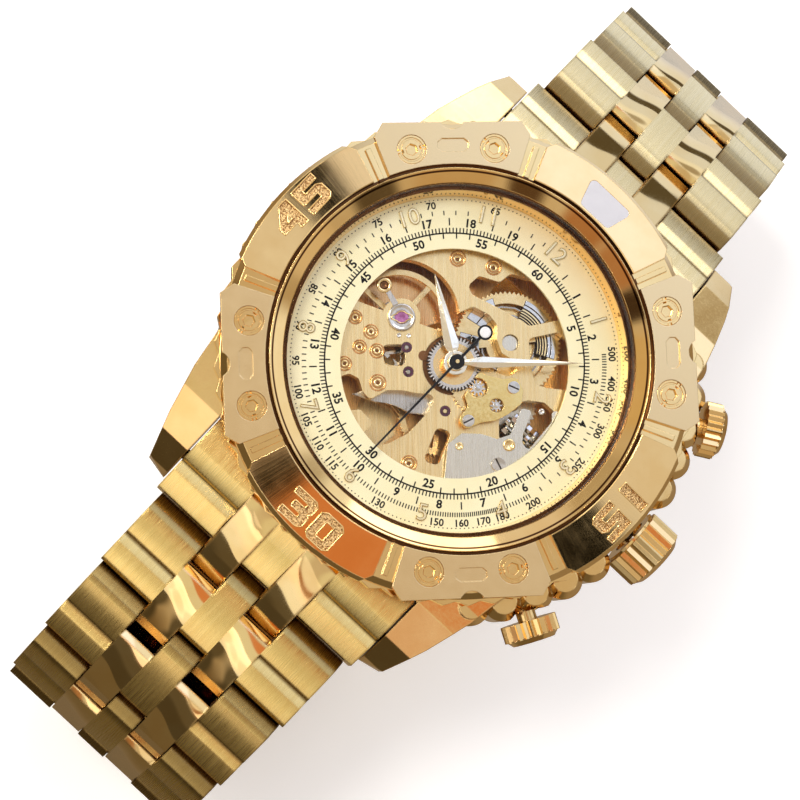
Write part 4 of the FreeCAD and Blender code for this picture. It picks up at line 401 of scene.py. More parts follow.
def bracelet_gold(name, start, end, crown, spans, *satins_with_side_light):
    """Satin lobes and two rows of polished tongues; each of them is crowned along its link.

    start and end are the link's two pins, and crown is the slope of the lobes at their ends. spans gives, in
    mm from start, the outer lobes' groove and half length, the middle lobe's centre and half length, and the
    tongues' centre, half length, lean and rise. The last is how far the lobes' outer halves lie flatter than
    the link. The satins are the brushed fields' two tones, set per side and kind of link: their pair is
    lighter on the 12 side and on the 6 side's end link than on the 6 side's links, which is painted light."""
    look = Look(name, bevel=0.35)
    groove, lobe, middle, long, centre, half, lean, rise, lift = spans
    place = look.xyz()
    along = (end - start).normalized()
    run = maths("MULTIPLY_ADD", place[1], along.y / MM,
                maths("MULTIPLY_ADD", place[2], along.z / MM, -start.dot(along) / MM))
    across = maths("ABSOLUTE", place[0])
    inner = maths("GREATER_THAN", across, TONGUE[0] * MM)
    outer = maths("LESS_THAN", across, TONGUE[2] * MM)
    tongue = times(inner, outer)
    streak = look.noise(0.04, (1, 90, 90), detail=2.0)
    broad = look.noise(0.35, (1, 30, 30), detail=2.0)
    smudge = look.noise(5.0)
    satin = mixed(band(plus(times(streak, 0.45), times(broad, 0.55)), 0.32, 0.68), *satins_with_side_light)
    bright = mixed(band(smudge), (0.95, 0.66, 0.27), (1.0, 0.75, 0.36))
    gold = mixed(tongue, satin, bright)
    beyond = minus(run, groove)
    # Painted shade: every field turns dark brown at the link's start, where it tucks under its neighbour,
    # and the outer lobes darken in their groove.
    groove_shade = maths("MAXIMUM", band(maths("ABSOLUTE", beyond), 0.1, 0.45, 0.35, 1.0), outer)
    gold = mixed(times(band(run, -1.2, 1.3, 0.25, 1.0), groove_shade), (0.10, 0.05, 0.012), gold)
    # Painted shade in narrow corners too.
    look.put("Base Color", look.crevices(gold, 1.0))
    look.put("Roughness", mixed(tongue, band(streak, start=0.20, end=0.32),
                                band(smudge, 0.35, 0.75, 0.05, 0.09)))
    # the crown of each field, as a height in mm
    flat = times(maths("MAXIMUM", beyond, 0.0), lift)
    fold = minus(maths("ABSOLUTE", beyond), lobe)
    sides = plus(times(times(fold, fold), -crown / (2 * lobe)), flat)
    far = minus(run, middle)
    mid = plus(times(times(far, far), -crown / (2 * long)), flat)
    side = minus(times(place[0], 1 / MM), times(maths("SIGN", place[0]), TONGUE[1]))
    wave = times(maths("SINE", times(side, 0.75)), 0.7)
    reach = minus(minus(run, centre), wave)
    sheet = plus(times(reach, -math.tan(math.radians(lean))),
                 times(times(reach, reach), -math.tan(math.radians(rise)) / (2 * half)))
    look.bump(mixed(tongue, mixed(inner, mid, sides), sheet), 1.0)
    look.bump(times(streak, minus(1.0, tongue)), 0.006)
    return look.done()


# Each side's way along Y and crown; then the spans and satin tones of its end link and of its links.
# The satin tones are painted light: lighter on the 12 side and on the 6 side's end link than on its links.
BRACELET = {
    "6": (-1, 0.15, ((6.2, 2.1, 7.3, 3.2, 8.6, 4.6, 2, 15, 0.28), (0.88, 0.63, 0.22), (0.96, 0.72, 0.28)),
          ((3.6, 1.8, 3.5, 3.5, 5.2, 3.1, 11, 19, 0), (0.74, 0.52, 0.175), (0.81, 0.595, 0.22))),
    "12": (1, 0.05, ((6.2, 2.1, 7.3, 3.2, 8.6, 4.6, 11, 8, 0), (0.93, 0.72, 0.34), (1.0, 0.80, 0.42)),
           ((3.6, 1.8, 3.5, 3.5, 5.2, 3.1, 8, 19, 0), (0.93, 0.72, 0.34), (1.0, 0.80, 0.42))),
}


def dress_bracelet():
    pins = {joint["name"]: Vector(joint["pos_m"]) for joint in frame["joints"] if "pos_m" in joint}
    for side, (way, crown, *kinds) in BRACELET.items():
        ends = [Vector((0, way * GROOVE, 8.1)) * MM]
        ends += [pins["hinge_%s_%d" % (side, k)] for k in range(1, 8)] + [pins["clasp_unfold"]]
        names = ["end_link_" + side] + ["link_%s_%d" % (side, k) for k in range(1, 8)]
        for k, name in enumerate(names):
            if name in NODES:
                short = "bracelet_" + name.replace("link_", "")
                dress(name, bracelet_gold(short, ends[k], ends[k + 1], crown, *kinds[min(k, 1)]))


def dial_ground():
    look = Look("dial_ground", metallic=0.35)
    grain = look.noise(0.05, detail=2.0)
    plain = mixed(band(look.noise(7.0), 0.25, 0.75), (0.94, 0.85, 0.50), (0.99, 0.92, 0.60))
    # Painted shade and reflection of the lip: the dial turns half way to deeper gold towards 12.
    rim = band(look.xyz()[1], 11 * MM, 17 * MM, 0.0, 0.5)
    look.put("Base Color", mixed(rim, plain, (0.86, 0.58, 0.24)))
    look.rough(grain, 0.34, 0.46)
    look.bump(grain, 0.003)
    return look.done()


def ink(name="dial_ink", tone=(0.004, 0.0035, 0.003)):
    look = Look(name, metallic=0.0)
    grain = look.noise(0.04)
    look.colour(tone, tuple(c * 2 + 0.002 for c in tone), grain, 0.3, 0.75)
    look.rough(grain, 0.5, 0.65)
    look.put("Specular IOR Level", 0.15)
    look.bump(grain, 0.002)
    return look.done()


def steel(name, light=(0.72, 0.67, 0.58), dark=(0.56, 0.52, 0.45), rough=0.26, stretch=(1, 60, 1),
          turn=BRUSH_TURN, depth=0.003):
    look = Look(name, bevel=0.05)
    streak = look.noise(0.035, stretch, turn, detail=2.0)
    look.colour(dark, light, streak, 0.25, 0.75)
    look.rough(streak, rough - 0.06, rough + 0.08)
    look.bump(streak, depth)
    return look.done()


def clouded(name, size, dark, light, smoothest, roughest, metallic=0.0, bevel=0):
    """A look with one soft noise in its colour and its roughness."""
    look = Look(name, metallic, bevel)
    cloud = look.noise(size)
    look.colour(dark, light, cloud)
    look.rough(cloud, smoothest, roughest)
    return look


def mirror_steel(name="mirror_steel"):
    look = clouded(name, 0.9, (0.62, 0.58, 0.50), (0.84, 0.79, 0.69), 0.06, 0.16, 1.0, 0.05)
    look.bump(look.noise(0.4), 0.002)
    return look.done()


def lume():
    look = clouded("lume", 2.5, (0.64, 0.63, 0.65), (0.68, 0.67, 0.69), 0.34, 0.38)
    look.put("Coat Weight", 0.3)
    return look.done()


def clear_glass():
    """Flat glass seen mostly from the front: only its reflection is drawn."""
    look = clouded("clear_glass", 6.0, (0.55, 0.56, 0.57), (0.62, 0.62, 0.62), 0.02, 0.035)
    edge = maths("POWER", add(look.tree, "LayerWeight", Blend=0.5).outputs["Facing"], 4.0)
    look.put("Alpha", band(edge, 0.0, 1.0, 0.008, 0.6))
    look.put("Specular IOR Level", 0.8)
    return look.done()


def rimmed_wheel():
    """Gilt wheel with a steel rim."""
    look = Look("hour_wheel_metal", bevel=0.04)
    rim = maths("GREATER_THAN", look.reach(), 2.12 * MM)
    streak = look.radial(0.05, 3.0)
    gold = mixed(band(streak), (0.93, 0.62, 0.26), (1.0, 0.74, 0.36))
    grey = mixed(band(streak), (0.66, 0.61, 0.52), (0.84, 0.78, 0.67))
    look.put("Base Color", mixed(rim, gold, grey))
    look.rough(streak, 0.16, 0.26)
    look.bump(streak, 0.002)
    return look.done()


def ruby():
    """Deep purple jewels; the one on the balance's staff is pink."""
    look = Look("ruby", metallic=0.0)
    cloud = look.noise(0.35)
    away = add(look.tree, "VectorMath", operation="DISTANCE", i0=look.place,
               i1=(BALANCE[0] * MM, BALANCE[1] * MM, 8.5 * MM)).outputs["Value"]
    deep = mixed(band(cloud), (0.035, 0.010, 0.020), (0.11, 0.025, 0.055))
    pink = mixed(band(cloud), (0.28, 0.06, 0.20), (0.55, 0.20, 0.48))
    look.put("Base Color", mixed(maths("LESS_THAN", away, 1.6 * MM), deep, pink))
    look.rough(cloud, 0.03, 0.08)
    look.put("Coat Weight", 0.6)
    look.put("Coat Roughness", 0.03)
    return look.done()


def dress(name, material):
    slots = NODES[name].data.materials
    slots.clear()
    slots.append(material)


def dress_nodes():
    for look, names in (
            (polished_gold("case_gold", bevel=0.2, corner_shade_width=1.2), "case_middle"),
            (bezel_gold(), "bezel_ring"),
            (brushed_gold("plate_satin", EVEN, light=(0.93, 0.69, 0.35), dark=(0.91, 0.665, 0.335),
                          rough=0.2, depth=0.0001, scale=1.5, vary=0.012), "bezel_plates"),
            (polished_gold("crown_gold", rough=0.1, bevel=0.06, corner_shade_width=0.9),
             "crown pusher_2 pusher_4 bezel_screws"),
            (brushed_gold("clasp_gold", (1, 90, 90), rough=0.2),
             "clasp_inner_blade clasp_middle_blade clasp_cover"),
            (radial_gold("back_gold"), "case_back"),
            (clear_glass(), "crystal back_crystal"),
            (brushed_gold("movement_gold", BRUSHED, turn=BRUSH_TURN, light=(1.0, 0.80, 0.42),
                          dark=(0.92, 0.66, 0.29), rough=0.27, depth=0.003, bevel=0.08),
             "main_plate movement_ring balance_cock rotor"),
            (brushed_gold("motion_gold", EVEN, light=(1.0, 0.78, 0.33), dark=(0.95, 0.68, 0.24), rough=0.14,
                          depth=0.001, scale=0.3), "motion_bridge"),
            (brushed_gold("wheel_gilt", EVEN, light=(1.0, 0.78, 0.40), dark=(0.92, 0.64, 0.27), rough=0.2,
                          depth=0.002, bevel=0.03, scale=0.1),
             "barrel centre_wheel third_wheel fourth_wheel balance_wheel minute_wheel cannon_pinion"),
            (brushed_gold("bridge_gilt", BRUSHED, turn=BRUSH_TURN, light=(0.88, 0.55, 0.22),
                          dark=(0.75, 0.42, 0.15), rough=0.3, depth=0.003), "train_bridge"),
            (steel("cover_steel", (0.80, 0.75, 0.61), (0.77, 0.72, 0.58), 0.24, depth=0.0006),
             "keyless_cover setting_lever ratchet_wheel crown_wheel"),
            (mirror_steel(), "movement_screws stem clutch winding_pinion escape_wheel pallet_fork"),
            (steel("spring_steel", (0.60, 0.56, 0.48), (0.40, 0.37, 0.32), 0.2, EVEN, 0),
             "mainspring hairspring"),
            (polished_gold("hand_gold", (1.0, 0.90, 0.66), (0.98, 0.84, 0.55), 0.12, 0.05),
             "hour_hand minute_hand"),
            (lume(), "bezel_marker"), (dial_ground(), "dial_ring"), (ruby(), "jewels"),
            (rimmed_wheel(), "hour_wheel"), (ink("hand_black", (0.006, 0.006, 0.007)), "second_hand")):
        for name in names.split():
            dress(name, look)
    dress_bracelet()


# ---------------------------------------------------------------- shapes, in mm
def vert(work, x, y, z):
    return work.verts.new((x * MM, y * MM, z * MM))


def polar(radius, turn, centre=(0, 0)):
    """The point at a distance and at an angle, in radians from +X, from a centre."""
    return centre[0] + radius * math.cos(turn), centre[1] + radius * math.sin(turn)


def clock(angle):
    """The way out and the way along the circle, for degrees clockwise from 12."""
    turn = math.radians(angle)
    return Vector((math.sin(turn), math.cos(turn))), Vector((math.cos(turn), -math.sin(turn)))


def skin(work, rings, end=""):
    """Faces from ring to ring of vertices; the last ring is left, capped or joined to the first."""
    for first, second in zip(rings, rings[1:] + (rings[:1] if end == "join" else [])):
        for k in range(len(first)):
            j = (k + 1) % len(first)
            work.faces.new((first[k], first[j], second[j], second[k]))
    if end == "cap":
        work.faces.new(rings[-1])


def lathe(work, centre, base, steps, profile, end=""):
    """Turns a profile of (radius, height over the base) about a vertical line through the centre."""
    turns = [math.tau * k / steps for k in range(steps)]
    skin(work, [[vert(work, *polar(radius, turn, centre), base + height) for turn in turns]
                for radius, height in profile], end)


def walls(work, points, low, high):
    """Upright walls on a plan; returns the rings under and over them."""
    under, over = [[vert(work, x, y, z) for x, y in points] for z in (low, high)]
    skin(work, [under, over])
    return under, over


def outline_solid(work, points, low, high):
    under, over = walls(work, points, low, high)
    work.faces.new(over)
    work.faces.new(list(reversed(under)))


def sector(work, centre, inner, outer, first, last, low, high, steps=24):
    """An upright band between two radii and two angles in degrees."""
    sweep = [math.radians(first + (last - first) * k / steps) for k in range(steps + 1)]
    plan = [polar(outer, turn, centre) for turn in sweep]
    plan += [polar(inner, turn, centre) for turn in reversed(sweep)]
    under, over = walls(work, plan, low, high)
    for k in range(steps):
        far = len(plan) - 1 - k
        work.faces.new((over[k], over[k + 1], over[far - 1], over[far]))
        work.faces.new((under[k + 1], under[k], under[far], under[far - 1]))


def tube(work, path, radius, sides=6):
    """A closed ring of tube along a loop of points that lies nearly flat; all in metres."""
    rings = []
    count = len(path)
    for k in range(count):
        before, here, after = path[k - 1], path[k], path[(k + 1) % count]
        way = ((here - before).normalized() + (after - here).normalized()).normalized()
        side = way.cross(Vector((0, 0, 1))).normalized()
        spread = max(0.5, (here - before).normalized().dot(way))
        rings.append([])
        for j in range(sides):
            across, up = polar(radius, math.tau * j / sides)
            rings[-1].append(work.verts.new(here + side * (across / spread) + Vector((0, 0, up))))
    skin(work, rings, "join")


def new_piece(name, work, material, body, smooth=False, outward=True):
    """The visible piece made of a bmesh, riding on a body of the frame; outward turns its faces out."""
    if outward:
        bmesh.ops.recalc_face_normals(work, faces=work.faces[:])
    mesh = bpy.data.meshes.new(name)
    work.to_mesh(mesh)
    work.free()
    mesh.materials.append(material)
    for face in mesh.polygons:
        face.use_smooth = smooth
    piece = link(bpy.data.objects.new(name, mesh))
    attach(piece, body)
    return piece


class Sheet:
    """Flat faces gathered in the dial's plane and raised into thin solid print."""

    def __init__(self):
        self.points = []
        self.faces = []

    def add(self, points, faces):
        start = len(self.points)
        self.points.extend(points)
        self.faces.extend([tuple(start + k for k in face) for face in faces])

    def bar(self, angle, inner, outer, width):
        """A stroke along the radius; the angle is in degrees clockwise from 12."""
        out, along = clock(angle)
        side = along * width / 2
        self.add([out * inner - side, out * inner + side, out * outer + side, out * outer - side],
                 [(0, 1, 2, 3)])

    def ring(self, radius, width, steps=240):
        points = []
        for k in range(steps):
            way = clock(360 * k / steps)[0]
            points.extend([way * (radius - width / 2), way * (radius + width / 2)])
        self.add(points, [(2 * k, 2 * k + 1, (2 * k + 3) % (2 * steps), (2 * k + 2) % (2 * steps))
                          for k in range(steps)])

    def dot(self, angle, radius, size, steps=8):
        centre = clock(angle)[0] * radius
        self.add([Vector(polar(size / 2, math.tau * k / steps, centre)) for k in range(steps)],
                 [tuple(range(steps))])

    def number(self, value, angle, radius, height, bold=0.0):
        """A number that stands upright in the dial's upper half and in its lower half."""
        points, faces = digits(str(value), height, bold)
        out, along = clock(angle)
        way = -1 if 90 < angle % 360 < 270 else 1
        self.add([out * radius + along * (way * p[0]) + out * (way * p[1]) for p in points], faces)

    def solid(self, low, high):
        """The print as a solid between two heights."""
        work = bmesh.new()
        made = [vert(work, *p, high) for p in self.points]
        for face in self.faces:
            work.faces.new([made[k] for k in face])
        bmesh.ops.recalc_face_normals(work, faces=work.faces[:])
        for face in work.faces:
            if face.normal.z < 0:
                face.normal_flip()
        sides = bmesh.ops.extrude_face_region(work, geom=work.faces[:], use_keep_orig=True)["geom"]
        for part in sides:
            if isinstance(part, bmesh.types.BMVert):
                part.co.z = low * MM
        flat = [part for part in sides if isinstance(part, bmesh.types.BMFace)]
        bmesh.ops.delete(work, geom=flat, context="FACES_ONLY")
        return work


DRAWN = {}


def digits(text, height, bold):
    """Flat faces of a number in the built-in typeface, centred, with the given height in mm."""
    key = (text, bold)
    if key not in DRAWN:
        curve = bpy.data.curves.new("digits", "FONT")
        curve.body = text
        curve.size = 1.0
        curve.offset = bold
        curve.resolution_u = 3
        curve.fill_mode = "FRONT"
        thing = bpy.data.objects.new("digits", curve)
        link(thing)
        graph = bpy.context.evaluated_depsgraph_get()
        mesh = bpy.data.meshes.new_from_object(thing.evaluated_get(graph))
        points = [(v.co.x, v.co.y) for v in mesh.vertices]
        faces = [tuple(face.vertices) for face in mesh.polygons]
        bpy.data.objects.remove(thing)
        bpy.data.meshes.remove(mesh)
        bpy.data.curves.remove(curve)
        DRAWN[key] = (points, faces)
    points, faces = DRAWN[key]
    low_x, high_x = min(p[0] for p in points), max(p[0] for p in points)
    low_y, high_y = min(p[1] for p in points), max(p[1] for p in points)
    scale = height / (high_y - low_y)
    middle = ((low_x + high_x) / 2, (low_y + high_y) / 2)
    return [((p[0] - middle[0]) * scale, (p[1] - middle[1]) * scale) for p in points], faces


# ---------------------------------------------------------------- dial and bezel
def make_print():
    top = span("dial_ring")[1]
    sheet = Sheet()
    sheet.ring(13.17, 0.15)
    for k in range(60):
        if k % 5:
            sheet.bar(6 * k, 12.6, 13.17, 0.13)
        else:
            sheet.number(k or 60, 6 * k, 12.4, 0.9, 0.03)
    for k in range(240):
        sheet.bar(1.5 * k, 13.25, 13.7, 0.12)
    for n in range(1, 20):
        sheet.number(n, 18 * n, 14.25, 0.9, 0.03)
    for n in range(20):
        sheet.bar(9 + 18 * n, 13.95, 14.7, 0.13)
    for v in (*range(61, 180), *range(180, 200, 2), *range(200, 501, 10)):
        sheet.bar(21600 / v, 15.0, 15.45, 0.11)
    for v in (500, 400, 350, 300, 250, 200, 180, 170, 160, 150, 130, *range(115, 60, -5)):
        sheet.number(v, 21600 / v, 16.05, 0.76, 0.025)
    for k in range(240):
        sheet.dot(1.5 * k + 0.75, 16.58, 0.13)
    new_piece("dial_print", sheet.solid(top, top + 0.02), ink(), "case")


def make_hours():
    top = span("dial_ring")[1]
    gilt = polished_gold("hour_gilt", (0.62, 0.46, 0.18), (0.42, 0.29, 0.09), 0.2, 0.03)
    pale = polished_gold("hour_face", (0.98, 0.86, 0.56), (0.90, 0.74, 0.42), 0.3, 0.02)
    for name, size, bold, rise, look in (("hour_numeral_rims", 1.8, 0.02, 0.14, gilt),
                                         ("hour_numeral_faces", 1.62, -0.014, 0.18, pale)):
        sheet = Sheet()
        for n in range(1, 13):
            sheet.number(n, 30 * n, 15.35, size, bold)
        new_piece(name, sheet.solid(top, top + rise), look, "case")


# Outlines of the engraved numerals, in strokes; a second loop is left standing.
GLYPHS = {
    "0": [[(0, 0.5), (0.5, 0), (2.5, 0), (3, 0.5), (3, 3.9), (2.5, 4.4), (0.5, 4.4), (0, 3.9)],
          [(1, 1), (1, 3.4), (2, 3.4), (2, 1)]],
    "1": [[(1.0, 0), (2.1, 0), (2.1, 4.4), (1.0, 4.4)]],
    "3": [[(0, 0), (2.5, 0), (3, 0.5), (3, 1.9), (2.7, 2.2), (3, 2.5), (3, 3.9), (2.5, 4.4), (0, 4.4),
           (0, 3.4), (2, 3.4), (2, 2.7), (0.7, 2.7), (0.7, 1.7), (2, 1.7), (2, 1), (0, 1)]],
    "4": [[(1.8, 0), (2.8, 0), (2.8, 4.4), (1.8, 4.4), (0, 1.9), (0, 0.9), (1.8, 0.9)],
          [(1.1, 1.8), (1.8, 2.8), (1.8, 1.8)]],
    "5": [[(0, 0), (2.5, 0), (3, 0.5), (3, 2.3), (2.5, 2.8), (1, 2.8), (1, 3.4), (3, 3.4), (3, 4.4),
           (0, 4.4), (0, 1.8), (2, 1.8), (2, 1), (0, 1)]],
}


def stepped(loop, step):
    """The loop with extra points on its runs, so that it can follow a curved surface."""
    points = []
    for k, here in enumerate(loop):
        there = loop[(k + 1) % len(loop)]
        run = Vector(there) - Vector(here)
        parts = max(1, round(run.length / step))
        points.extend([Vector(here) + run * j / parts for j in range(parts)])
    return points


def make_bezel_numbers():
    """The engraved block numerals: a rough floor and a bright rim along each edge."""
    top = span("bezel_ring")[1] - 0.05
    fall = 0.5 / 4.35
    circle = 21.8
    ridge = bmesh.new()
    ground = bmesh.new()
    for text, angle, way in (("15", 90, 1), ("30", 180, -1), ("45", 270, 1)):
        out, along = clock(angle)
        for place, letter in enumerate(text):
            def spot(point, sunk):
                up = way * (point[1] - 2.2) * 0.7
                across = way * 0.95 * (point[0] - 1.5 + (place - 0.5) * 3.6)
                at = out * (circle + up) + along * across
                reach, rise = (circle + up, -0.185) if sunk else (at.length, 0.005)
                return Vector((at.x, at.y, top - fall * (reach - GROOVE) + rise)) * MM

            made = []
            for loop in [stepped(loop, 0.4) for loop in GLYPHS[letter]]:
                tube(ridge, [spot(p, False) for p in loop], 0.075 * MM)
                verts = [ground.verts.new(spot(p, True)) for p in loop]
                made.extend([ground.edges.new(pair) for pair in zip(verts, verts[1:] + verts[:1])])
            bmesh.ops.triangle_fill(ground, use_beauty=True, use_dissolve=False, edges=made)
    for face in ground.faces:
        if face.normal.z < 0:
            face.normal_flip()
    new_piece("bezel_numeral_rims", ridge, polished_gold("numeral_gold", rough=0.12, bevel=0.02), "bezel",
              True, False)
    look = Look("numeral_floor")
    grit = look.noise(0.16, detail=4.0)
    look.colour((0.30, 0.15, 0.05), (0.98, 0.70, 0.33), grit, 0.38, 0.62)
    look.rough(grit, 0.3, 0.5)
    look.bump(grit, 0.12)
    new_piece("bezel_numeral_floors", ground, look.done(), "bezel", False, False)


def make_bezel_screws():
    """Screw heads: a ring with two slots round a hexagon socket."""
    low, high = span("bezel_screws")
    profile = [(0.87, low), (0.87, high - 0.66), (1.45, high - 0.66), (1.45, high - 0.03), (1.42, high),
               (1.22, high), (1.19, high - 0.03), (1.19, high - 0.13), (1.02, high - 0.13),
               (1.02, high - 0.03), (0.99, high), (0.80, high)]
    turns = [math.tau * j / 72 for j in range(72)]
    work = bmesh.new()
    for k in range(8):
        side = -1 if k % 2 else 1
        angle = math.radians(45 + 90 * (k // 2) + side * 11.3)
        centre = polar(SCREW_CIRCLE, angle)
        slot_at = angle + math.radians(90 if side > 0 else 60)
        rings = []
        for radius, height in profile:
            rings.append([])
            for turn in turns:
                gap = abs((turn - slot_at + math.pi / 2) % math.pi - math.pi / 2)
                slotted = 0.97 < radius < 1.46 and gap * radius < 0.17 and height > high - 0.1
                level = high - 0.16 if slotted else height
                rings[-1].append(vert(work, *polar(radius, turn, centre), level))
        for depth, size in ((0, 0.66), (0.05, 0.6), (0.4, 0.56)):
            rings.append([])
            for turn in turns:
                corner = (turn - angle) % (math.pi / 3) - math.pi / 6
                radius = size * math.cos(math.pi / 6) / math.cos(corner)
                rings[-1].append(vert(work, *polar(radius, turn, centre), high - depth))
        skin(work, rings, "cap")
    gold = polished_gold("screw_gold", rough=0.12, bevel=0.02)
    piece = new_piece("bezel_screw_heads", work, gold, "bezel")
    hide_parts("bezel_screws")


# ---------------------------------------------------------------- hands
def make_second_disc():
    """White spot on the tail of the seconds hand, inside its black ring."""
    work = bmesh.new()
    lathe(work, clock(181.0 + 180)[0] * 4.1, span("second_hand")[1], 40,
          [(0.57, -0.02), (0.56, 0.02), (0.4, 0.035), (0.02, 0.04)], "cap")
    white = clouded("spot_white", 0.2, (0.86, 0.86, 0.85), (0.95, 0.95, 0.95), 0.3, 0.4).done()
    new_piece("second_spot", work, white, "seconds", True)


def ridged_hand(node, body, angle, length, width, hub, bore, material):
    """Lance hand with a ridge along its middle and a bevelled boss, in place of the flat solid."""
    low, high = span(node)
    edge = low + 0.62 * (high - low)
    out, along = clock(angle)
    work = bmesh.new()
    rows = []
    for x, half in ((hub * 0.75, 0.2), (length * 0.10, 0.3), (length * 0.16, width * 0.42),
                    (length * 0.21, width / 2), (length * 0.36, width * 0.41), (length * 0.65, width * 0.25),
                    (length * 0.9, width * 0.1), (length, 0.015)):
        rows.append([vert(work, *(out * x - along * y), z)
                     for y, z in ((-half, low), (-half, edge), (0, high), (half, edge), (half, low))])
    skin(work, rows)
    work.faces.new(rows[0])
    work.faces.new(list(reversed(rows[-1])))
    lathe(work, (0, 0), 0, 48, [(bore, low), (hub, low), (hub, high - 0.06), (hub - 0.08, high),
                                (bore + 0.08, high), (bore, high - 0.06)], "join")
    piece = new_piece(node + "_ridged", work, material, body)
    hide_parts(node)


# ---------------------------------------------------------------- movement
# Bushings seen in the plate: place, radius, and the depth of the drilled seat under them.
BUSHINGS = [(-10.45, -3.3, 0.6, 0.5), (-6.95, 8.3, 0.7, 1.2), (-3.7, 10.2, 0.7, 1.2), (-8.1, -5.2, 0.6, 0.5),
            (3.5, -10.4, 0.7, 0.9), (-6.55, -4.3, 0.62, 0), (-8.3, -3.3, 0.62, 0), (-8.05, -7.5, 0.62, 0),
            (-4.3, -6.6, 0.72, 0)]


def make_bushings(rim_look, well_look, dark):
    """Each has a copper chamfer, a bright ring, a copper well whose dark tone is partly its own and partly
    painted shade, and a stud whose drilled middle is a dark disc of painted shade.
    """
    rims = bmesh.new()
    wells = bmesh.new()
    hole_shade = bmesh.new()
    for x, y, radius, deep in BUSHINGS:
        reach = radius - 0.01 if deep else radius
        sunk = -0.22 if deep else 0.015
        for work, steps, end, profile in (
                (wells, 40, "", [(reach + 0.17, 0), (reach + 0.14, 0.02), (reach, 0.022), (reach, sunk)]),
                (rims, 40, "", [(reach, sunk - 0.01), (reach, 0.03), (reach - 0.03, 0.05),
                                (reach - 0.07, 0.045), (reach - 0.1, sunk)]),
                (rims, 40, "", [(reach * 0.6, sunk), (reach * 0.58, sunk + 0.06), (reach * 0.5, sunk + 0.09),
                                (reach * 0.3, sunk + 0.08), (reach * 0.26, sunk)]),
                (wells, 40, "cap", [(reach - 0.02, sunk), (reach * 0.5, sunk + 0.004),
                                    (reach * 0.28, sunk + 0.006)]),
                (hole_shade, 24, "cap", [(reach * 0.26, sunk + 0.002), (reach * 0.24, sunk + 0.012)])):
            lathe(work, (x, y), PLATE_TOP, steps, profile, end)
    # A dark disc of painted shade for an open hole in the plate.
    lathe(hole_shade, (-2.8, -1.4), PLATE_TOP, 32, [(0.52, 0), (0.5, 0.008)], "cap")
    new_piece("plate_bushings", rims, rim_look, "case", True)
    new_piece("plate_bushing_wells", wells, well_look, "case", True)
    new_piece("plate_bushing_hole_shade", hole_shade, dark, "case")


def make_coils(silver, gilt, dark):
    """The mainspring's turns and the lid's steel ring, seen through the openings in the barrel's lid, over
    dark sectors of painted shade that fill the openings.
    """
    top = span("barrel")[1]
    shade = bmesh.new()
    bands = bmesh.new()
    turns = bmesh.new()
    for first, last, spring in ((26, 66, True), (74, 110, True), (150, 190, False), (208, 240, False)):
        sector(shade, BARREL, 2.95, 5.0, first, last, top - 0.1, top + 0.008)
        steel_bands = ((4.56, 4.98), (4.18, 4.46)) if spring else ((2.98, 3.75), (3.85, 4.97))
        gilt_bands = ((3.88, 4.04), (3.62, 3.74), (3.36, 3.46), (3.10, 3.18)) if spring else ()
        for work, pairs, rise in ((bands, steel_bands, 0.06), (turns, gilt_bands, 0.05)):
            for inner, outer in pairs:
                sector(work, BARREL, inner, outer, first + 0.6, last - 0.6, top, top + rise)
    new_piece("barrel_opening_shade", shade, dark, "barrel_body")
    new_piece("barrel_bands", bands, silver, "barrel_body")
    new_piece("mainspring_turns", turns, gilt, "barrel_body")


def make_hour_teeth(dark):
    """Painted shade in the gaps between the hour wheel's teeth: dark sectors."""
    face = span("hour_wheel")[0] + 0.22
    work = bmesh.new()
    for k in range(48):
        sector(work, (0, 0), 2.42, 2.795, 7.5 * k - 1.7, 7.5 * k + 1.7, face - 0.02, face + 0.012, 2)
    new_piece("hour_wheel_gap_shade", work, dark, "hour")


def make_balance_floor(copper):
    """A copper sheet behind the balance, above the bridges: painted reflection, standing in for the copper
    colour seen through the open back there.
    """
    work = bmesh.new()
    sector(work, (0, 0), 4.9, 12.9, 112, 206, 3.45, 3.65, 60)
    new_piece("balance_reflection_sheet", work, copper, "case")


def make_regulator(grey, gilt, dark):
    """Arm of the regulator on the balance bridge, with its eye over the opening."""
    foot, eye = Vector((-8.35, 0.45)), Vector((-10.53, 1.10))
    along = (eye - foot).normalized()
    side = Vector((-along.y, along.x))
    tip = eye - along * 0.6
    work = bmesh.new()
    outline_solid(work, [foot - side * 0.3, foot + side * 0.3, tip + side * 0.24, tip - side * 0.24],
                  PLATE_TOP, PLATE_TOP + 0.14)
    new_piece("regulator_arm", work, grey, "case")
    work = bmesh.new()
    lathe(work, eye, PLATE_TOP, 40, [(0.42, 0), (0.78, 0), (0.8, 0.12), (0.74, 0.18), (0.5, 0.18),
                                     (0.42, 0.12)], "join")
    new_piece("regulator_eye", work, gilt, "case", True)
    work = bmesh.new()
    lathe(work, eye, PLATE_TOP, 24, [(0.42, 0), (0.42, 0.06), (0.24, 0.1), (0.2, 0.06), (0.03, 0.05)], "cap")
    new_piece("regulator_pin", work, dark, "case", True)


def make_shock(silver, gilt):
    """Shock setting of the balance: polished ring and a lyre spring over the jewel."""
    top = PLATE_TOP + 0.25
    work = bmesh.new()
    lathe(work, BALANCE, top, 56, [(1.38, 0), (1.37, 0.07), (1.3, 0.1), (1.16, 0.1), (1.08, 0.02),
                                   (0.98, 0.02)])
    new_piece("shock_rim", work, silver, "case", True)
    work = bmesh.new()
    path = []
    for k in range(48):
        turn = math.tau * k / 48
        reach = 0.60 + 0.42 * max(0.0, math.cos(2 * turn)) ** 3
        path.append(Vector((*polar(reach, turn + 0.8, BALANCE), top + 0.06)) * MM)
    tube(work, path, 0.065 * MM, 8)
    new_piece("shock_lyre", work, gilt, "case", True)


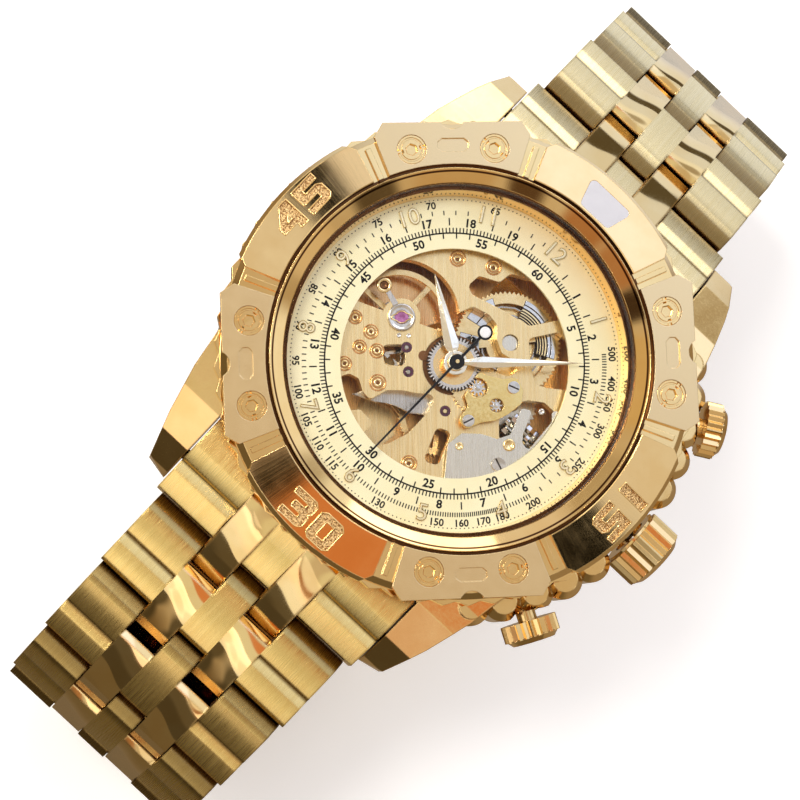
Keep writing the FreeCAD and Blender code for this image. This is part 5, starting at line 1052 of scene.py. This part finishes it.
def make_screw_slots(dark):
    """Painted shade of the slots in the movement's screw heads, drawn as dark boxes: place, height, half
    length, degrees from +X.
    """
    work = bmesh.new()
    for x, y, top, reach, lean in ((5.98, 2.3, 9.85, 0.55, 20), (4.9, -3.35, 9.85, 0.55, 70),
                                   (10.1, -4.4, 9.45, 0.62, -20)):
        along = Vector(polar(1, math.radians(lean)))
        side = Vector((-along.y, along.x)) * 0.08
        plan = [Vector((x, y)) + along * a * reach + side * b
                for a, b in ((-1, -1), (1, -1), (1, 1), (-1, 1))]
        outline_solid(work, plan, top - 0.05, top + 0.008)
    new_piece("screw_slot_shade", work, dark, "case")


def make_cover_pins(gilt, silver):
    """Gilt pins and steel studs on the cover plate, and two small studs by the balance."""
    top = 9.15
    work = bmesh.new()
    for x, y, radius in ((6.0, -5.75, 0.4), (9.6, -2.2, 0.62)):
        lathe(work, (x, y), top, 36, [(radius, 0), (radius, 0.1), (radius - 0.06, 0.15),
                                      (radius * 0.62, 0.15), (radius * 0.58, 0.1), (0.05, 0.11)], "cap")
    new_piece("cover_pins", work, gilt, "case", True)
    work = bmesh.new()
    lathe(work, (9.75, 2.55), top, 32, [(0.34, 0), (0.34, 0.08), (0.26, 0.13), (0.12, 0.13), (0.1, 0.05),
                                        (0.02, 0.05)], "cap")
    for place in ((-6.0, -1.6), (-5.25, -0.95)):
        lathe(work, place, PLATE_TOP, 24, [(0.24, 0), (0.24, 0.05), (0.17, 0.07), (0.12, 0.02),
                                           (0.02, 0.02)], "cap")
    new_piece("cover_studs", work, silver, "case", True)


def make_star(name, centre, inner, outer, teeth, low, high, material, body):
    """Small pinion seen from its end."""
    work = bmesh.new()
    tooth = ((-0.28, inner), (-0.16, outer), (0.16, outer), (0.28, inner))
    outline_solid(work, [polar(radius, math.tau * (k + shift) / teeth, centre) for k in range(teeth)
                         for shift, radius in tooth], low, high)
    lathe(work, centre, high, 24, [(inner * 0.55, 0), (inner * 0.5, 0.05), (inner * 0.2, 0.06)], "cap")
    new_piece(name, work, material, body)


def make_pallet_bridge(silver):
    """Steel bridge under the plate, seen through the escapement's window."""
    plan = [(-5.4, -9.0), (-4.6, -7.6), (-3.0, -5.9), (-2.2, -5.0), (-0.6, -4.1), (0.7, -2.6), (1.5, -3.0),
            (1.7, -5.2), (0.2, -6.35), (-1.35, -6.8), (-2.25, -7.2), (-3.1, -7.9)]
    work = bmesh.new()
    outline_solid(work, plan, 6.42, 6.8)
    rim = [e for e in work.edges if min(e.verts[0].co.z, e.verts[1].co.z) > 6.7 * MM]
    bmesh.ops.bevel(work, geom=rim, offset=0.06 * MM, segments=2, affect="EDGES")
    new_piece("pallet_bridge", work, silver, "case")


def make_wheel_shadow(dark):
    """Painted shade on the floor of the recess in which the hour wheel turns: a dark ring."""
    work = bmesh.new()
    lathe(work, (0, 0), 8.152, 72, [(3.06, 0), (3.06, 0.01), (1.64, 0.01), (1.64, 0)], "join")
    new_piece("wheel_recess_shade", work, dark, "case")


def make_movement_details():
    gilt = polished_gold("detail_gilt", (1.0, 0.80, 0.42), (0.90, 0.60, 0.24), 0.14, 0.02)
    copper = polished_gold("well_copper_and_shade", (0.64, 0.33, 0.12), (0.42, 0.19, 0.06), 0.22, 0.02)
    # A sheet that stands in for the copper reflection seen behind the balance: painted reflection.
    floor = brushed_gold("balance_copper", (1, 60, 1), turn=BRUSH_TURN, light=(0.95, 0.62, 0.30),
                         dark=(0.80, 0.46, 0.19), rough=0.22, depth=0.0015)
    silver = mirror_steel("detail_steel")
    # Dark ink for painted shade: in the barrel's openings, the hour wheel's tooth gaps and the screw slots.
    dark = ink("painted_shade_dark", (0.02, 0.014, 0.01))
    # Dark copper: painted shade in the bushings' holes and the hour wheel's recess, and the regulator's pin.
    shade = polished_gold("shade_dark_copper", (0.22, 0.10, 0.04), (0.12, 0.05, 0.02), 0.35, 0.02)
    make_bushings(gilt, copper, shade)
    make_coils(silver, gilt, dark)
    make_hour_teeth(dark)
    make_balance_floor(floor)
    make_regulator(steel("regulator_steel"), gilt, shade)
    make_shock(silver, gilt)
    make_screw_slots(dark)
    make_cover_pins(gilt, silver)
    make_star("minute_pinion_face", (3.36, -0.2), 0.5, 0.8, 10, 9.15, 9.3, silver, "minute_wheel_body")
    make_star("setting_pinion_face", (5.95, -0.2), 0.4, 0.62, 8, 8.4, 9.3, silver, "case")
    make_pallet_bridge(steel("bridge_steel", (0.74, 0.70, 0.62), (0.50, 0.46, 0.39), 0.2))
    make_wheel_shadow(shade)


def make_hands():
    pale = polished_gold("hand_pale", (1.0, 0.93, 0.74), (0.99, 0.88, 0.62), 0.14, 0.03)
    ridged_hand("hour_hand", "hour", 304.0, 9.2, 1.5, 1.25, 0.8, pale)
    ridged_hand("minute_hand", "centre", 47.0, 12.8, 1.15, 0.85, 0.25, pale)


make_camera()
make_floor()
make_world()
area_light("key", (-0.19, 0.50, 0.43), (0, 0, 0), (0.42, 0.42), 0.85, (0.93, 0.97, 1.06))
area_light("fill", (-0.58, 0.10, 0.26), (0, 0, 0), (0.3, 0.3), 0.3, (1.0, 0.97, 0.92))
area_light("panel", (-0.029, -0.086, 0.074), (-0.029, 0, 0.074), (0.082, 0.064), 0.0145, (0.98, 0.98, 1.0))
area_light("shade", (0.040, -0.086, 0.080), (0.040, 0, 0.080), (0.05, 0.08), 0.004, (0.95, 0.97, 1.05))
sun_light("top", (-28, -4), 1.35, 20, (1.0, 0.985, 0.95))
bpy.context.scene.view_settings.view_transform = "Standard"
dress_nodes()
make_print()
make_hours()
make_bezel_numbers()
make_bezel_screws()
make_second_disc()
make_movement_details()
make_hands()
